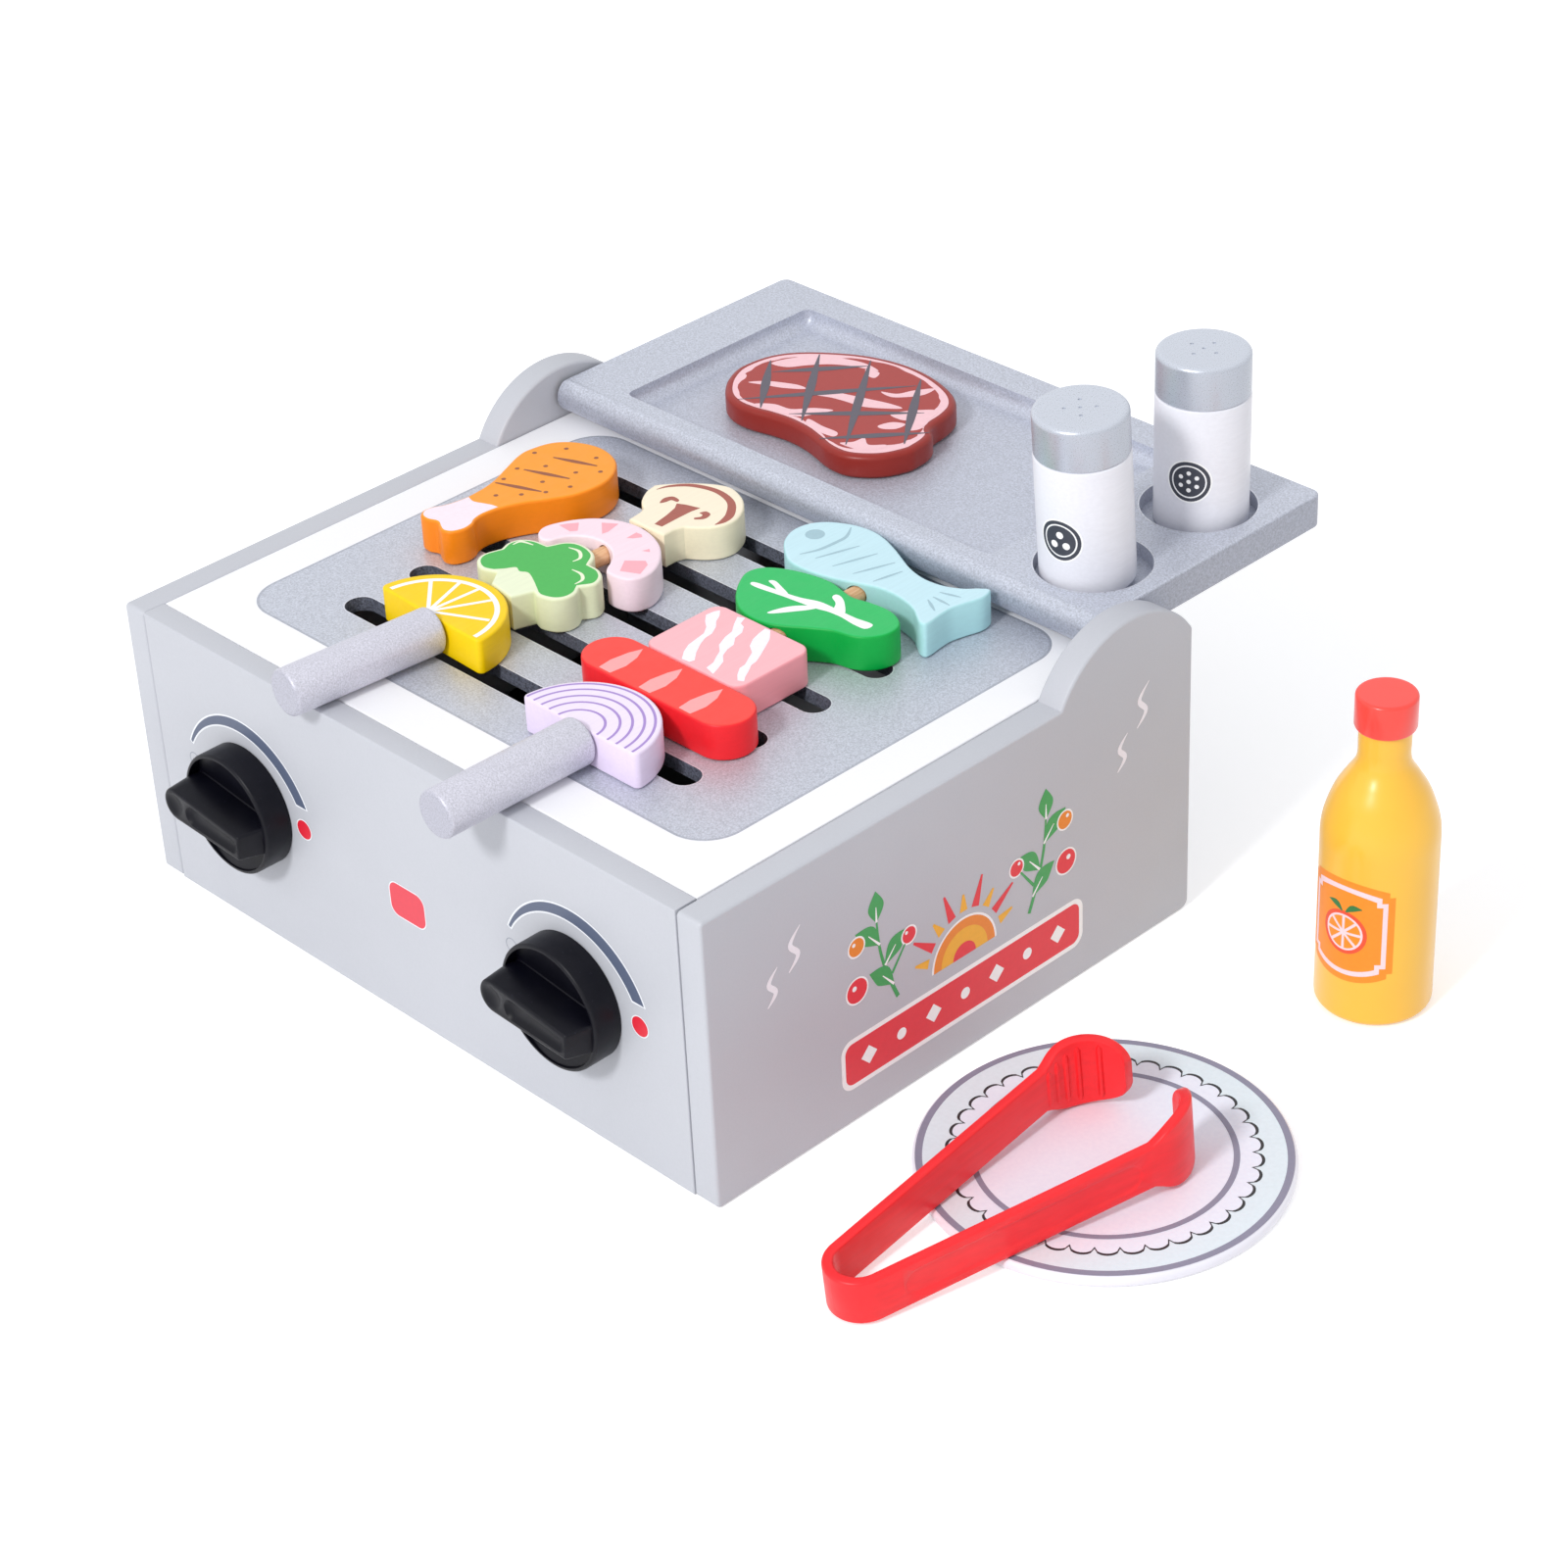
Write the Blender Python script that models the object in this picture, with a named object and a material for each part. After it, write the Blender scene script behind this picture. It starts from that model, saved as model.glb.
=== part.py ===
"""Toy barbecue grill with skewers, food, shakers, plate, tongs and a sauce bottle.

Metres, +Z up. The grill's front faces -Y and its base stands on z = 0 around the origin.
"""
import math

import bmesh
import bpy
from mathutils import Matrix, Vector

# Fits between pieces
GAP = 0.0003
OVERRUN = 0.002

# Roundness of curved pieces
ROUND_STEPS = 36
WIDE_ROUND_STEPS = 56
PIN_STEPS = 10
CORNER_STEPS = 3
CURVE_STEPS = 2
BEND_STEPS = 16
HALF_ROUND_STEPS = 12
SMALL_ROUND_STEPS = 20
BARREL_STEPS = 24
HANDLE_STEPS = 32
DRUM_STEPS = 48
SMOOTH_ANGLE = math.radians(32)
TIP_ANGLES = (0, math.radians(30), math.radians(60), math.radians(80))
FOOT_ANGLES = (-math.pi / 2, -math.pi / 3, -math.pi / 6, 0)
RIM_ANGLES = (-math.pi / 2, -math.pi / 4, 0)

# Grill box
BODY_WIDTH = 0.270
BODY_DEPTH = 0.211
BODY_HEIGHT = 0.102
SIDE_THICKNESS = 0.010
FRONT_THICKNESS = 0.0085
BACK_THICKNESS = 0.0085
BASE_THICKNESS = 0.006
PANEL_ROUNDING = 0.0009
PANEL_FRONT_CORNER = 0.0016
PANEL_BACK_CORNER = 0.003
EAR_RADIUS = 0.0355
EAR_RISE = 0.0186
EAR_FROM_BACK = 0.0295
EAR_CORNER = 0.0022
EAR_STEPS = 16

# Deck board with its slots
BOARD_THICKNESS = 0.005
BOARD_ROUNDING = 0.0004
SLOT_COUNT = 5
SLOT_PITCH = 0.027
SLOT_WIDTH = 0.0105
SLOT_LENGTH = 0.162
SLOT_FROM_FRONT = 0.050
CLEAT_SIZE = 0.008

# Dowels that join the panels
DOWEL_DIAMETER = 0.004
DOWEL_IN_SIDE = 0.006
DOWEL_IN_PANEL = 0.012
DOWEL_FROM_EDGE = 0.018

# Tipping tray at the back
TRAY_SIDE_GAP = 0.0016
TRAY_THICKNESS = 0.012
TRAY_HINGE_FROM_BACK = 0.0275
TRAY_LENGTH = 0.105
TRAY_CORNER = 0.0035
TRAY_ROUNDING = 0.0008
TRAY_LIFT = 0.0024
RECESS_LENGTH = 0.0877
RECESS_WIDTH = 0.170
RECESS_DEPTH = 0.006
RECESS_FROM_HINGE = 0.0042
RECESS_FROM_LEFT = 0.0244
RECESS_CORNER = 0.003
POCKET_DIAMETER = 0.038
POCKET_DEPTH = 0.005
POCKET_FROM_RIGHT = 0.0249
POCKET_PITCH = 0.0506
POCKET_FROM_HINGE = 0.0222
HINGE_PIN_DIAMETER = 0.004
HINGE_PIN_IN_EAR = 0.006
HINGE_PIN_IN_TRAY = 0.014
SPACER_DIAMETER = 0.009

# Control knobs
KNOB_SPACING = 0.1551
KNOBS_MIDDLE_X = -0.0008
KNOB_HEIGHT = 0.050
KNOB_TURN = math.radians(-5)
KNOB_DIAMETER = 0.042
KNOB_DRUM_DEPTH = 0.010
KNOB_TOTAL_DEPTH = 0.0185
KNOB_ROUNDING = 0.0009
KNOB_LIP = 0.0013
KNOB_SCOOP_AT_LIP = 0.0008
KNOB_SCOOP_AT_BAR = 0.0045
POINTER_HEAD_WIDTH = 0.0128
POINTER_TAIL_WIDTH = 0.0104
POINTER_DRAFT = 0.0006
POINTER_OVERHANG = 0.0006
POINTER_SLOPE_LENGTH = 0.0022
POINTER_ROUNDING = 0.0006
POINTER_DIMPLE_DIAMETER = 0.0074
POINTER_DIMPLE_DEPTH = 0.0006
POINTER_GROOVE_LENGTH = 0.021
POINTER_GROOVE_WIDTH = 0.0042
POINTER_GROOVE_DEPTH = 0.0008
SPINDLE_DIAMETER = 0.006
SPINDLE_IN_KNOB = 0.008
SPINDLE_STUB = 0.001
WASHER_DIAMETER = 0.014
WASHER_THICKNESS = 0.002
KNOB_SCREW_DIAMETER = 0.0022
KNOB_SCREW_LENGTH = 0.010
KNOB_SCREW_HEAD_DIAMETER = 0.005
KNOB_SCREW_HEAD_HEIGHT = 0.0016
KNOB_SCREW_HEAD_ANGLE = math.radians(40)

# Skewers
HANDLE_DIAMETER = 0.0156
HANDLE_LENGTH = 0.0557
HANDLE_ROUNDING = 0.0014
STICK_DIAMETER = 0.006
STICK_IN_HANDLE = 0.015
STICK_CLEARANCE = 0.0004
SKEWER_LEFT_X = -0.0353
SKEWER_LEFT_END = 0.0472
SKEWER_LEFT_YAW = math.radians(-4.8)
SKEWER_LEFT_REACH = 0.111
SKEWER_RIGHT_X = 0.0475
SKEWER_RIGHT_END = 0.0344
SKEWER_RIGHT_YAW = math.radians(-0.8)
SKEWER_RIGHT_REACH = 0.128

# Food blocks
FOOD_THICKNESS = 0.0124
FOOD_ROUNDING = 0.0008
LEMON_RADIUS = 0.025
LEMON_CORNER = 0.002
LEMON_SHIFT = -0.003
LEMON_YAW = math.radians(-2.4)
LEMON_SPACE = 0.0002
BROCCOLI_WIDTH = 0.0412
BROCCOLI_LENGTH = 0.0346
BROCCOLI_SHIFT = -0.0015
BROCCOLI_SPACE = 0.0018
SHRIMP_WIDTH = 0.049
SHRIMP_LENGTH = 0.0273
SHRIMP_SHIFT = 0.0011
SHRIMP_NEST = 0.0073
MUSHROOM_WIDTH = 0.0372
MUSHROOM_LENGTH = 0.0364
MUSHROOM_SHIFT = -0.0004
MUSHROOM_SPACE = 0.0007
ONION_RADIUS = 0.0253
ONION_CORNER = 0.002
ONION_SHIFT = -0.0011
SAUSAGE_LENGTH = 0.0687
SAUSAGE_WIDTH = 0.0197
SAUSAGE_SHIFT = -0.0002
BACON_WIDTH = 0.042
BACON_LENGTH = 0.032
BACON_CORNER = 0.0045
BACON_SHIFT = -0.0018
LEAF_WIDTH = 0.0605
LEAF_LENGTH = 0.0322
LEAF_SHIFT = -0.0003
LEAF_SPACE = 0.0003
FISH_WIDTH = 0.0755
FISH_LENGTH = 0.032
FISH_SHIFT = -0.0018
FISH_NEST = 0.0003
DRUMSTICK_WIDTH = 0.037
DRUMSTICK_LENGTH = 0.0728
DRUMSTICK_X = -0.078
DRUMSTICK_FROM_FRONT = 0.1215
STEAK_WIDTH = 0.0875
STEAK_LENGTH = 0.0615
STEAK_THICKNESS = 0.0085
STEAK_ROUNDING = 0.0016
STEAK_FROM_RECESS_LEFT = 0.0622
STEAK_FROM_HINGE = 0.0487

# Salt and pepper shakers
SHAKER_DIAMETER = 0.0308
SHAKER_HEIGHT = 0.060
SHAKER_CAP_HEIGHT = 0.0146
SHAKER_ROUNDING = 0.0012
SHAKER_HOLE_DIAMETER = 0.0015
SHAKER_HOLE_DEPTH = 0.003
SHAKER_HOLE_RING_RADIUS = 0.005
SHAKER_HOLE_COUNT = 4
SALT_SHIFT = 0.0006
PEPPER_TURN = math.radians(44)
PEPPER_LEAN = math.radians(3.4)
PEPPER_SHIFT_X = -0.0009
PEPPER_SHIFT_Y = -0.0015

# Plate
PLATE_DIAMETER = 0.114
PLATE_THICKNESS = 0.004
PLATE_ROUNDING = 0.0015
PLATE_X = 0.2036
PLATE_FROM_FRONT = 0.0925

# Tongs
TONGS_X = 0.1949
TONGS_FROM_FRONT = -0.0008
TONGS_YAW = math.radians(-5.85)
TONGS_SPREAD = math.radians(9.15)
TONGS_BEND_RADIUS = 0.009
TONGS_BAND_HEIGHT = 0.0155
TONGS_BAND_THICKNESS = 0.0034
TONGS_BAND_ROUNDING = 0.0007
TONGS_ARM_LENGTH = 0.1225
TONGS_PADDLE_LENGTH = 0.030
TONGS_PADDLE_HEIGHT = 0.025
TONGS_CURL_LENGTH = 0.026
TONGS_CURL_RADIUS = 0.0165
TONGS_RIB_WIDTH = 0.0016
TONGS_RIB_RISE = 0.0007
TONGS_OVER_PLATE = 0.0006
TONGS_GROOVE_WIDTH = 0.0085
TONGS_GROOVE_DEPTH = 0.0008
TONGS_GROOVE_END = 0.006

# Sauce bottle
BOTTLE_X = 0.2092
BOTTLE_FROM_FRONT = 0.2124
BOTTLE_DIAMETER = 0.0368
BOTTLE_STRAIGHT_HEIGHT = 0.0637
BOTTLE_FOOT_ROUNDING = 0.0028
BOTTLE_SHOULDER_HEIGHT = 0.0255
BOTTLE_NECK_DIAMETER = 0.0162
BOTTLE_HEIGHT = 0.0991
BOTTLE_CAP_DIAMETER = 0.0192
BOTTLE_CAP_HEIGHT = 0.0115
BOTTLE_CAP_ROUNDING = 0.001

# Food outlines as shares of width and length; the third value marks a sharp corner
BROCCOLI_SHARES = (
    (-0.500, -0.200, 0), (-0.440, -0.325, 0), (-0.330, -0.390, 0), (-0.200, -0.360, 1),
    (-0.135, -0.375, 0), (-0.120, -0.500, 1), (0.155, -0.500, 1), (0.170, -0.330, 0),
    (0.240, -0.350, 1), (0.335, -0.375, 0), (0.445, -0.335, 0), (0.500, -0.250, 0),
    (0.500, -0.135, 0), (0.440, -0.045, 1), (0.495, 0.090, 0), (0.445, 0.225, 0),
    (0.350, 0.290, 0), (0.240, 0.280, 1), (0.190, 0.425, 0), (0.090, 0.495, 0),
    (-0.035, 0.500, 0), (-0.150, 0.435, 0), (-0.220, 0.300, 1), (-0.360, 0.270, 0),
    (-0.455, 0.205, 0), (-0.485, 0.090, 0), (-0.450, -0.040, 1),
)
SHRIMP_SHARES = (
    (-0.500, -0.210, 0), (-0.465, -0.065, 0), (-0.415, 0.100, 0), (-0.335, 0.275, 0),
    (-0.235, 0.405, 0), (-0.115, 0.485, 0), (0.020, 0.500, 0), (0.155, 0.455, 0),
    (0.280, 0.355, 0), (0.375, 0.210, 0), (0.445, 0.055, 0), (0.485, -0.120, 0),
    (0.500, -0.320, 1), (0.295, -0.495, 1), (0.240, -0.500, 1), (0.200, -0.380, 0),
    (0.175, -0.265, 0), (0.125, -0.135, 0), (0.030, -0.010, 0), (-0.065, 0.030, 0),
    (-0.170, -0.005, 0), (-0.255, -0.130, 0), (-0.300, -0.310, 0), (-0.330, -0.470, 1),
    (-0.430, -0.365, 0),
)
MUSHROOM_SHARES = (
    (-0.485, 0.115, 0), (-0.270, 0.345, 0), (-0.005, 0.500, 0), (0.225, 0.450, 0),
    (0.390, 0.320, 0), (0.480, 0.170, 0), (0.500, 0.040, 0), (0.470, -0.075, 0),
    (0.385, -0.180, 0), (0.245, -0.280, 1), (0.220, -0.365, 0), (0.225, -0.500, 1),
    (-0.220, -0.500, 1), (-0.240, -0.360, 0), (-0.265, -0.285, 1), (-0.380, -0.200, 0),
    (-0.470, -0.065, 0), (-0.500, 0.045, 0),
)
LEAF_SHARES = (
    (-0.500, 0.080, 0), (-0.480, 0.235, 0), (-0.420, 0.340, 0), (-0.330, 0.420, 0),
    (-0.215, 0.480, 0), (-0.095, 0.500, 0), (0.000, 0.465, 0), (0.100, 0.430, 0),
    (0.210, 0.470, 0), (0.325, 0.485, 0), (0.415, 0.440, 0), (0.480, 0.345, 0),
    (0.500, 0.215, 0), (0.485, 0.080, 0), (0.435, -0.045, 0), (0.365, -0.115, 0),
    (0.265, -0.155, 0), (0.190, -0.230, 0), (0.115, -0.320, 0), (0.045, -0.405, 0),
    (-0.035, -0.475, 0), (-0.130, -0.500, 0), (-0.225, -0.475, 0), (-0.305, -0.400, 0),
    (-0.380, -0.280, 0), (-0.455, -0.100, 0),
)
FISH_SHARES = (
    (-0.500, 0.040, 0), (-0.485, 0.195, 0), (-0.440, 0.330, 0), (-0.370, 0.430, 0),
    (-0.300, 0.485, 0), (-0.225, 0.500, 0), (-0.145, 0.465, 0), (-0.055, 0.385, 0),
    (0.025, 0.295, 0), (0.110, 0.205, 0), (0.195, 0.155, 0), (0.265, 0.155, 0),
    (0.330, 0.190, 0), (0.390, 0.265, 0), (0.435, 0.365, 0), (0.480, 0.415, 0),
    (0.500, 0.295, 0), (0.480, 0.085, 0), (0.470, -0.115, 0), (0.480, -0.310, 0),
    (0.495, -0.485, 0), (0.460, -0.490, 0), (0.385, -0.385, 0), (0.325, -0.300, 0),
    (0.250, -0.255, 0), (0.155, -0.260, 0), (0.065, -0.300, 0), (-0.015, -0.380, 0),
    (-0.095, -0.455, 0), (-0.205, -0.500, 0), (-0.315, -0.485, 0), (-0.390, -0.380, 0),
    (-0.455, -0.240, 0), (-0.490, -0.090, 0),
)
DRUMSTICK_SHARES = (
    (-0.500, 0.270, 0), (-0.440, 0.385, 0), (-0.270, 0.465, 0), (-0.020, 0.500, 0),
    (0.245, 0.465, 0), (0.425, 0.375, 0), (0.500, 0.260, 0), (0.470, 0.125, 0),
    (0.360, 0.015, 0), (0.235, -0.085, 0), (0.155, -0.180, 0), (0.125, -0.270, 0),
    (0.145, -0.330, 0), (0.190, -0.370, 0), (0.205, -0.425, 0), (0.160, -0.480, 0),
    (0.075, -0.500, 0), (-0.010, -0.485, 0), (-0.090, -0.465, 0), (-0.190, -0.480, 0),
    (-0.290, -0.470, 0), (-0.345, -0.430, 0), (-0.330, -0.380, 0), (-0.285, -0.335, 0),
    (-0.255, -0.270, 0), (-0.245, -0.190, 0), (-0.285, -0.055, 0), (-0.415, 0.105, 0),
    (-0.485, 0.195, 0),
)
STEAK_SHARES = (
    (-0.500, -0.115, 0), (-0.490, 0.035, 0), (-0.455, 0.150, 0), (-0.390, 0.255, 0),
    (-0.295, 0.355, 0), (-0.200, 0.430, 0), (-0.090, 0.480, 0), (0.025, 0.500, 0),
    (0.140, 0.485, 0), (0.250, 0.440, 0), (0.330, 0.380, 0), (0.385, 0.295, 0),
    (0.410, 0.200, 0), (0.435, 0.100, 0), (0.475, -0.005, 0), (0.500, -0.115, 0),
    (0.500, -0.235, 0), (0.465, -0.355, 0), (0.405, -0.445, 0), (0.330, -0.500, 0),
    (0.240, -0.500, 0), (0.155, -0.465, 0), (0.070, -0.435, 0), (-0.025, -0.425, 0),
    (-0.115, -0.440, 0), (-0.200, -0.465, 0), (-0.285, -0.465, 0), (-0.365, -0.420, 0),
    (-0.435, -0.325, 0), (-0.480, -0.220, 0),
)

# Bottle shoulder as shares of the way in to the neck and of the shoulder's height
SHOULDER_SHARES = ((0.07, 0.12), (0.19, 0.31), (0.37, 0.51), (0.66, 0.71), (0.92, 0.88))

# Tongs paddle as shares of its length and of its full height, and its ribs along it
PADDLE_SHARES = (
    (0.00, 0.62), (0.08, 0.72), (0.16, 0.84), (0.24, 0.93), (0.32, 0.98), (0.40, 1.00),
    (0.50, 1.00), (0.60, 0.97), (0.70, 0.93), (0.79, 0.87), (0.87, 0.80), (0.93, 0.73),
    (0.97, 0.66), (1.00, 0.56),
)
PADDLE_WIDEST_SHARE = 0.45
PADDLE_RIB_SHARES = (0.06, 0.29, 0.48, 0.72)
RIB_REACH_SHARE = 0.78

# Places and levels that follow from the sizes
FRONT_Y = -BODY_DEPTH / 2
BACK_Y = BODY_DEPTH / 2
INNER_X = BODY_WIDTH / 2 - SIDE_THICKNESS
HINGE_Y = BACK_Y - TRAY_HINGE_FROM_BACK
HINGE_Z = BODY_HEIGHT + TRAY_LIFT + TRAY_THICKNESS / 2
TRAY_TOP = HINGE_Z + TRAY_THICKNESS / 2
TRAY_BOTTOM = HINGE_Z - TRAY_THICKNESS / 2
TRAY_HALF_WIDTH = INNER_X - TRAY_SIDE_GAP
TRAY_END_Y = HINGE_Y + TRAY_LENGTH
RECESS_LEFT_X = -TRAY_HALF_WIDTH + RECESS_FROM_LEFT
POCKET_X = TRAY_HALF_WIDTH - POCKET_FROM_RIGHT
BOARD_BACK_Y = BACK_Y - BACK_THICKNESS - GAP
BOARD_FRONT_Y = FRONT_Y + FRONT_THICKNESS + GAP
STICK_Z = BODY_HEIGHT + GAP + HANDLE_DIAMETER / 2
FOOD_Z = BODY_HEIGHT + GAP
POINTER_HEAD_X = (POINTER_HEAD_WIDTH - KNOB_DIAMETER) / 2 - POINTER_OVERHANG


def clear_scene():
    for obj in list(bpy.data.objects):
        bpy.data.objects.remove(obj, do_unlink=True)


def paint(name, color, roughness=0.45, metallic=0.0):
    """Principled material, made once for each name."""
    found = bpy.data.materials.get(name)
    if found:
        return found
    made = bpy.data.materials.new(name)
    made.use_nodes = True
    shader = made.node_tree.nodes["Principled BSDF"]
    shader.inputs["Base Color"].default_value = (*color, 1.0)
    shader.inputs["Roughness"].default_value = roughness
    shader.inputs["Metallic"].default_value = metallic
    made.diffuse_color = (*color, 1.0)
    return made


def add_object(name, bm, coat=None, place=None):
    """Link a bmesh as an object; without a coat it is a hidden cutter."""
    bmesh.ops.recalc_face_normals(bm, faces=bm.faces)
    mesh = bpy.data.meshes.new(name)
    bm.to_mesh(mesh)
    bm.free()
    mesh.shade_smooth()
    mesh.set_sharp_from_angle(angle=SMOOTH_ANGLE)
    obj = bpy.data.objects.new(name, mesh)
    bpy.context.collection.objects.link(obj)
    if place is not None:
        obj.matrix_world = place
    if coat is None:
        obj.hide_render = True
        obj.display_type = "WIRE"
    else:
        mesh.materials.append(coat)
    return obj


def loft(rings):
    """Closed bmesh through rings of equal point counts, capped at both ends."""
    bm = bmesh.new()
    loops = [[bm.verts.new(point) for point in ring] for ring in rings]
    for lower, upper in zip(loops, loops[1:]):
        for index in range(len(lower)):
            after = (index + 1) % len(lower)
            bm.faces.new((lower[index], lower[after], upper[after], upper[index]))
    bm.faces.new(tuple(reversed(loops[0])))
    bm.faces.new(loops[-1])
    return bm


def join_meshes(parts):
    """One bmesh that holds several separate solids."""
    whole = bmesh.new()
    for part in parts:
        piece = bpy.data.meshes.new("piece")
        part.to_mesh(piece)
        part.free()
        whole.from_mesh(piece)
        bpy.data.meshes.remove(piece)
    return whole


def flat_ring(outline, height):
    return [(x, y, height) for x, y in outline]


def prism(outline, bottom, top):
    return loft([flat_ring(outline, bottom), flat_ring(outline, top)])


def box(low, high):
    outline = ((low[0], low[1]), (high[0], low[1]), (high[0], high[1]), (low[0], high[1]))
    return prism(outline, low[2], high[2])


def circle(radius, steps, center=(0, 0)):
    angles = [2 * math.pi * step / steps for step in range(steps)]
    return [(center[0] + radius * math.cos(a), center[1] + radius * math.sin(a)) for a in angles]


def turned(profile, steps=ROUND_STEPS):
    """Solid of revolution about Z through (radius, height) pairs from bottom to top."""
    return loft([flat_ring(circle(radius, steps), height) for radius, height in profile])


def rod(start, end, radius, steps=PIN_STEPS):
    """Plain cylinder between two points."""
    start, end = Vector(start), Vector(end)
    bm = prism(circle(radius, steps), 0, (end - start).length)
    turn = Vector((0, 0, 1)).rotation_difference(end - start).to_matrix().to_4x4()
    bmesh.ops.transform(bm, matrix=Matrix.Translation(start) @ turn, verts=bm.verts)
    return bm


def arc(center, radius, start, stop, steps):
    turns = [start + (stop - start) * step / steps for step in range(steps + 1)]
    return [(center[0] + radius * math.cos(a), center[1] + radius * math.sin(a)) for a in turns]


def rounded(corners, steps=CORNER_STEPS):
    """Outline through (x, y, radius) corners, counterclockwise, each rounded by its radius."""
    outline = []
    for index, (x, y, radius) in enumerate(corners):
        here = Vector((x, y))
        if not radius:
            outline.append((x, y))
            continue
        to_last = (Vector(corners[index - 1][:2]) - here).normalized()
        to_next = (Vector(corners[(index + 1) % len(corners)][:2]) - here).normalized()
        half_angle = to_last.angle(to_next) / 2
        center = here + (to_last + to_next).normalized() * radius / math.sin(half_angle)
        enter = here + to_last * radius / math.tan(half_angle) - center
        leave = here + to_next * radius / math.tan(half_angle) - center
        sweep = enter.angle_signed(leave, 0)
        for step in range(steps + 1):
            spoke = enter.copy()
            spoke.rotate(Matrix.Rotation(-sweep * step / steps, 2))
            outline.append(tuple(center + spoke))
    return outline


def rounded_box(width, length, radius, center=(0, 0), steps=CORNER_STEPS):
    x, y = width / 2, length / 2
    corners = ((-x, -y), (x, -y), (x, y), (-x, y))
    return rounded([(center[0] + a, center[1] + b, radius) for a, b in corners], steps)


def stadium(length, width, center=(0, 0), steps=10):
    """Slot outline along X with round ends."""
    radius = width / 2
    reach = length / 2 - radius
    x, y = center
    right = arc((x + reach, y), radius, -math.pi / 2, math.pi / 2, steps)
    left = arc((x - reach, y), radius, math.pi / 2, 3 * math.pi / 2, steps)
    return right + left


def smooth_loop(table, width, length):
    """Counterclockwise curve through points given as shares of width and length."""
    points = [Vector((x * width, y * length)) for x, y, _ in table]
    sharp = [mark for _, _, mark in table]
    area = sum(points[i - 1].cross(points[i]) for i in range(len(points)))
    if area < 0:
        points.reverse()
        sharp.reverse()
    count = len(points)
    outline = []
    for index in range(count):
        last, here = points[index - 1], points[index]
        ahead, beyond = points[(index + 1) % count], points[(index + 2) % count]
        leave = ahead - here if sharp[index] else (ahead - last) / 2
        arrive = ahead - here if sharp[(index + 1) % count] else (beyond - here) / 2
        for step in range(CURVE_STEPS):
            t = step / CURVE_STEPS
            spot = here * (2 * t**3 - 3 * t**2 + 1) + leave * (t**3 - 2 * t**2 + t)
            spot += ahead * (3 * t**2 - 2 * t**3) + arrive * (t**3 - t**2)
            outline.append(tuple(spot))
    return outline


def half_disc(radius, corner):
    """Half disc above y = 0 with its two corners rounded."""
    reach = math.sqrt((radius - corner) ** 2 - corner**2)
    tip = math.asin(corner / (radius - corner))
    right = arc((reach, corner), corner, -math.pi / 2, tip, CORNER_STEPS)
    rim = arc((0, 0), radius, tip, math.pi - tip, ROUND_STEPS // 2)[1:-1]
    left = arc((-reach, corner), corner, math.pi - tip, 3 * math.pi / 2, CORNER_STEPS)
    return [(x, y - radius / 2) for x, y in right + rim + left]


def round_edges(obj, width, segments=1):
    bevel = obj.modifiers.new("edges", "BEVEL")
    bevel.limit_method = "ANGLE"
    bevel.angle_limit = SMOOTH_ANGLE
    bevel.width = width
    bevel.segments = segments


def boolean(obj, other, operation="DIFFERENCE"):
    step = obj.modifiers.new(operation.lower(), "BOOLEAN")
    step.operation = operation
    step.solver = "EXACT"
    step.object = other


def cut(obj, name, bm, place=None):
    """Take a shape out of an object with a hidden cutter."""
    boolean(obj, add_object(name, bm, place=place))


def pivot(name, spot, turn=None):
    """Empty on a joint's axis."""
    empty = bpy.data.objects.new(name, None)
    empty.matrix_world = Matrix.Translation(spot) @ (turn or Matrix())
    bpy.context.collection.objects.link(empty)
    return empty


def hang(parent, *objects):
    """Parent objects without moving them."""
    bpy.context.view_layer.update()
    for obj in objects:
        place = obj.matrix_world.copy()
        obj.parent = parent
        obj.matrix_parent_inverse = parent.matrix_world.inverted()
        obj.matrix_world = place


def placed(x, y, z, turn=None):
    return Matrix.Translation((x, y, z)) @ (turn or Matrix())


# Local X, Y of an outline turned to world Y, Z or to world X, Z
SIDE_ON = Matrix(((0, 0, 1, 0), (1, 0, 0, 0), (0, 1, 0, 0), (0, 0, 0, 1)))
FACE_ON = Matrix(((1, 0, 0, 0), (0, 0, -1, 0), (0, 1, 0, 0), (0, 0, 0, 1)))


def dowel_spots():
    """Start and end of each dowel, from a side panel into a cross panel."""
    front_y = FRONT_Y + FRONT_THICKNESS / 2
    back_y = BACK_Y - BACK_THICKNESS / 2
    low = BASE_THICKNESS + DOWEL_FROM_EDGE
    high = BODY_HEIGHT - BOARD_THICKNESS - DOWEL_FROM_EDGE
    rows = [(y, z) for y in (front_y, back_y) for z in (low, high)]
    rows.append((0, BASE_THICKNESS / 2))
    spots = []
    for side in (-1, 1):
        for y, z in rows:
            start = (side * (INNER_X + DOWEL_IN_SIDE), y, z)
            end = (side * (INNER_X - DOWEL_IN_PANEL), y, z)
            spots.append((start, end))
    return spots


def dowel_holes(name):
    """Cutter for the dowel holes, wider and longer than the dowels by the gap."""
    holes = []
    for start, end in dowel_spots():
        stretch = Vector((math.copysign(GAP, start[0]), 0, 0))
        radius = DOWEL_DIAMETER / 2 + GAP
        holes.append(rod(Vector(start) + stretch, Vector(end) - stretch, radius))
    return add_object(name, join_meshes(holes))


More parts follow.
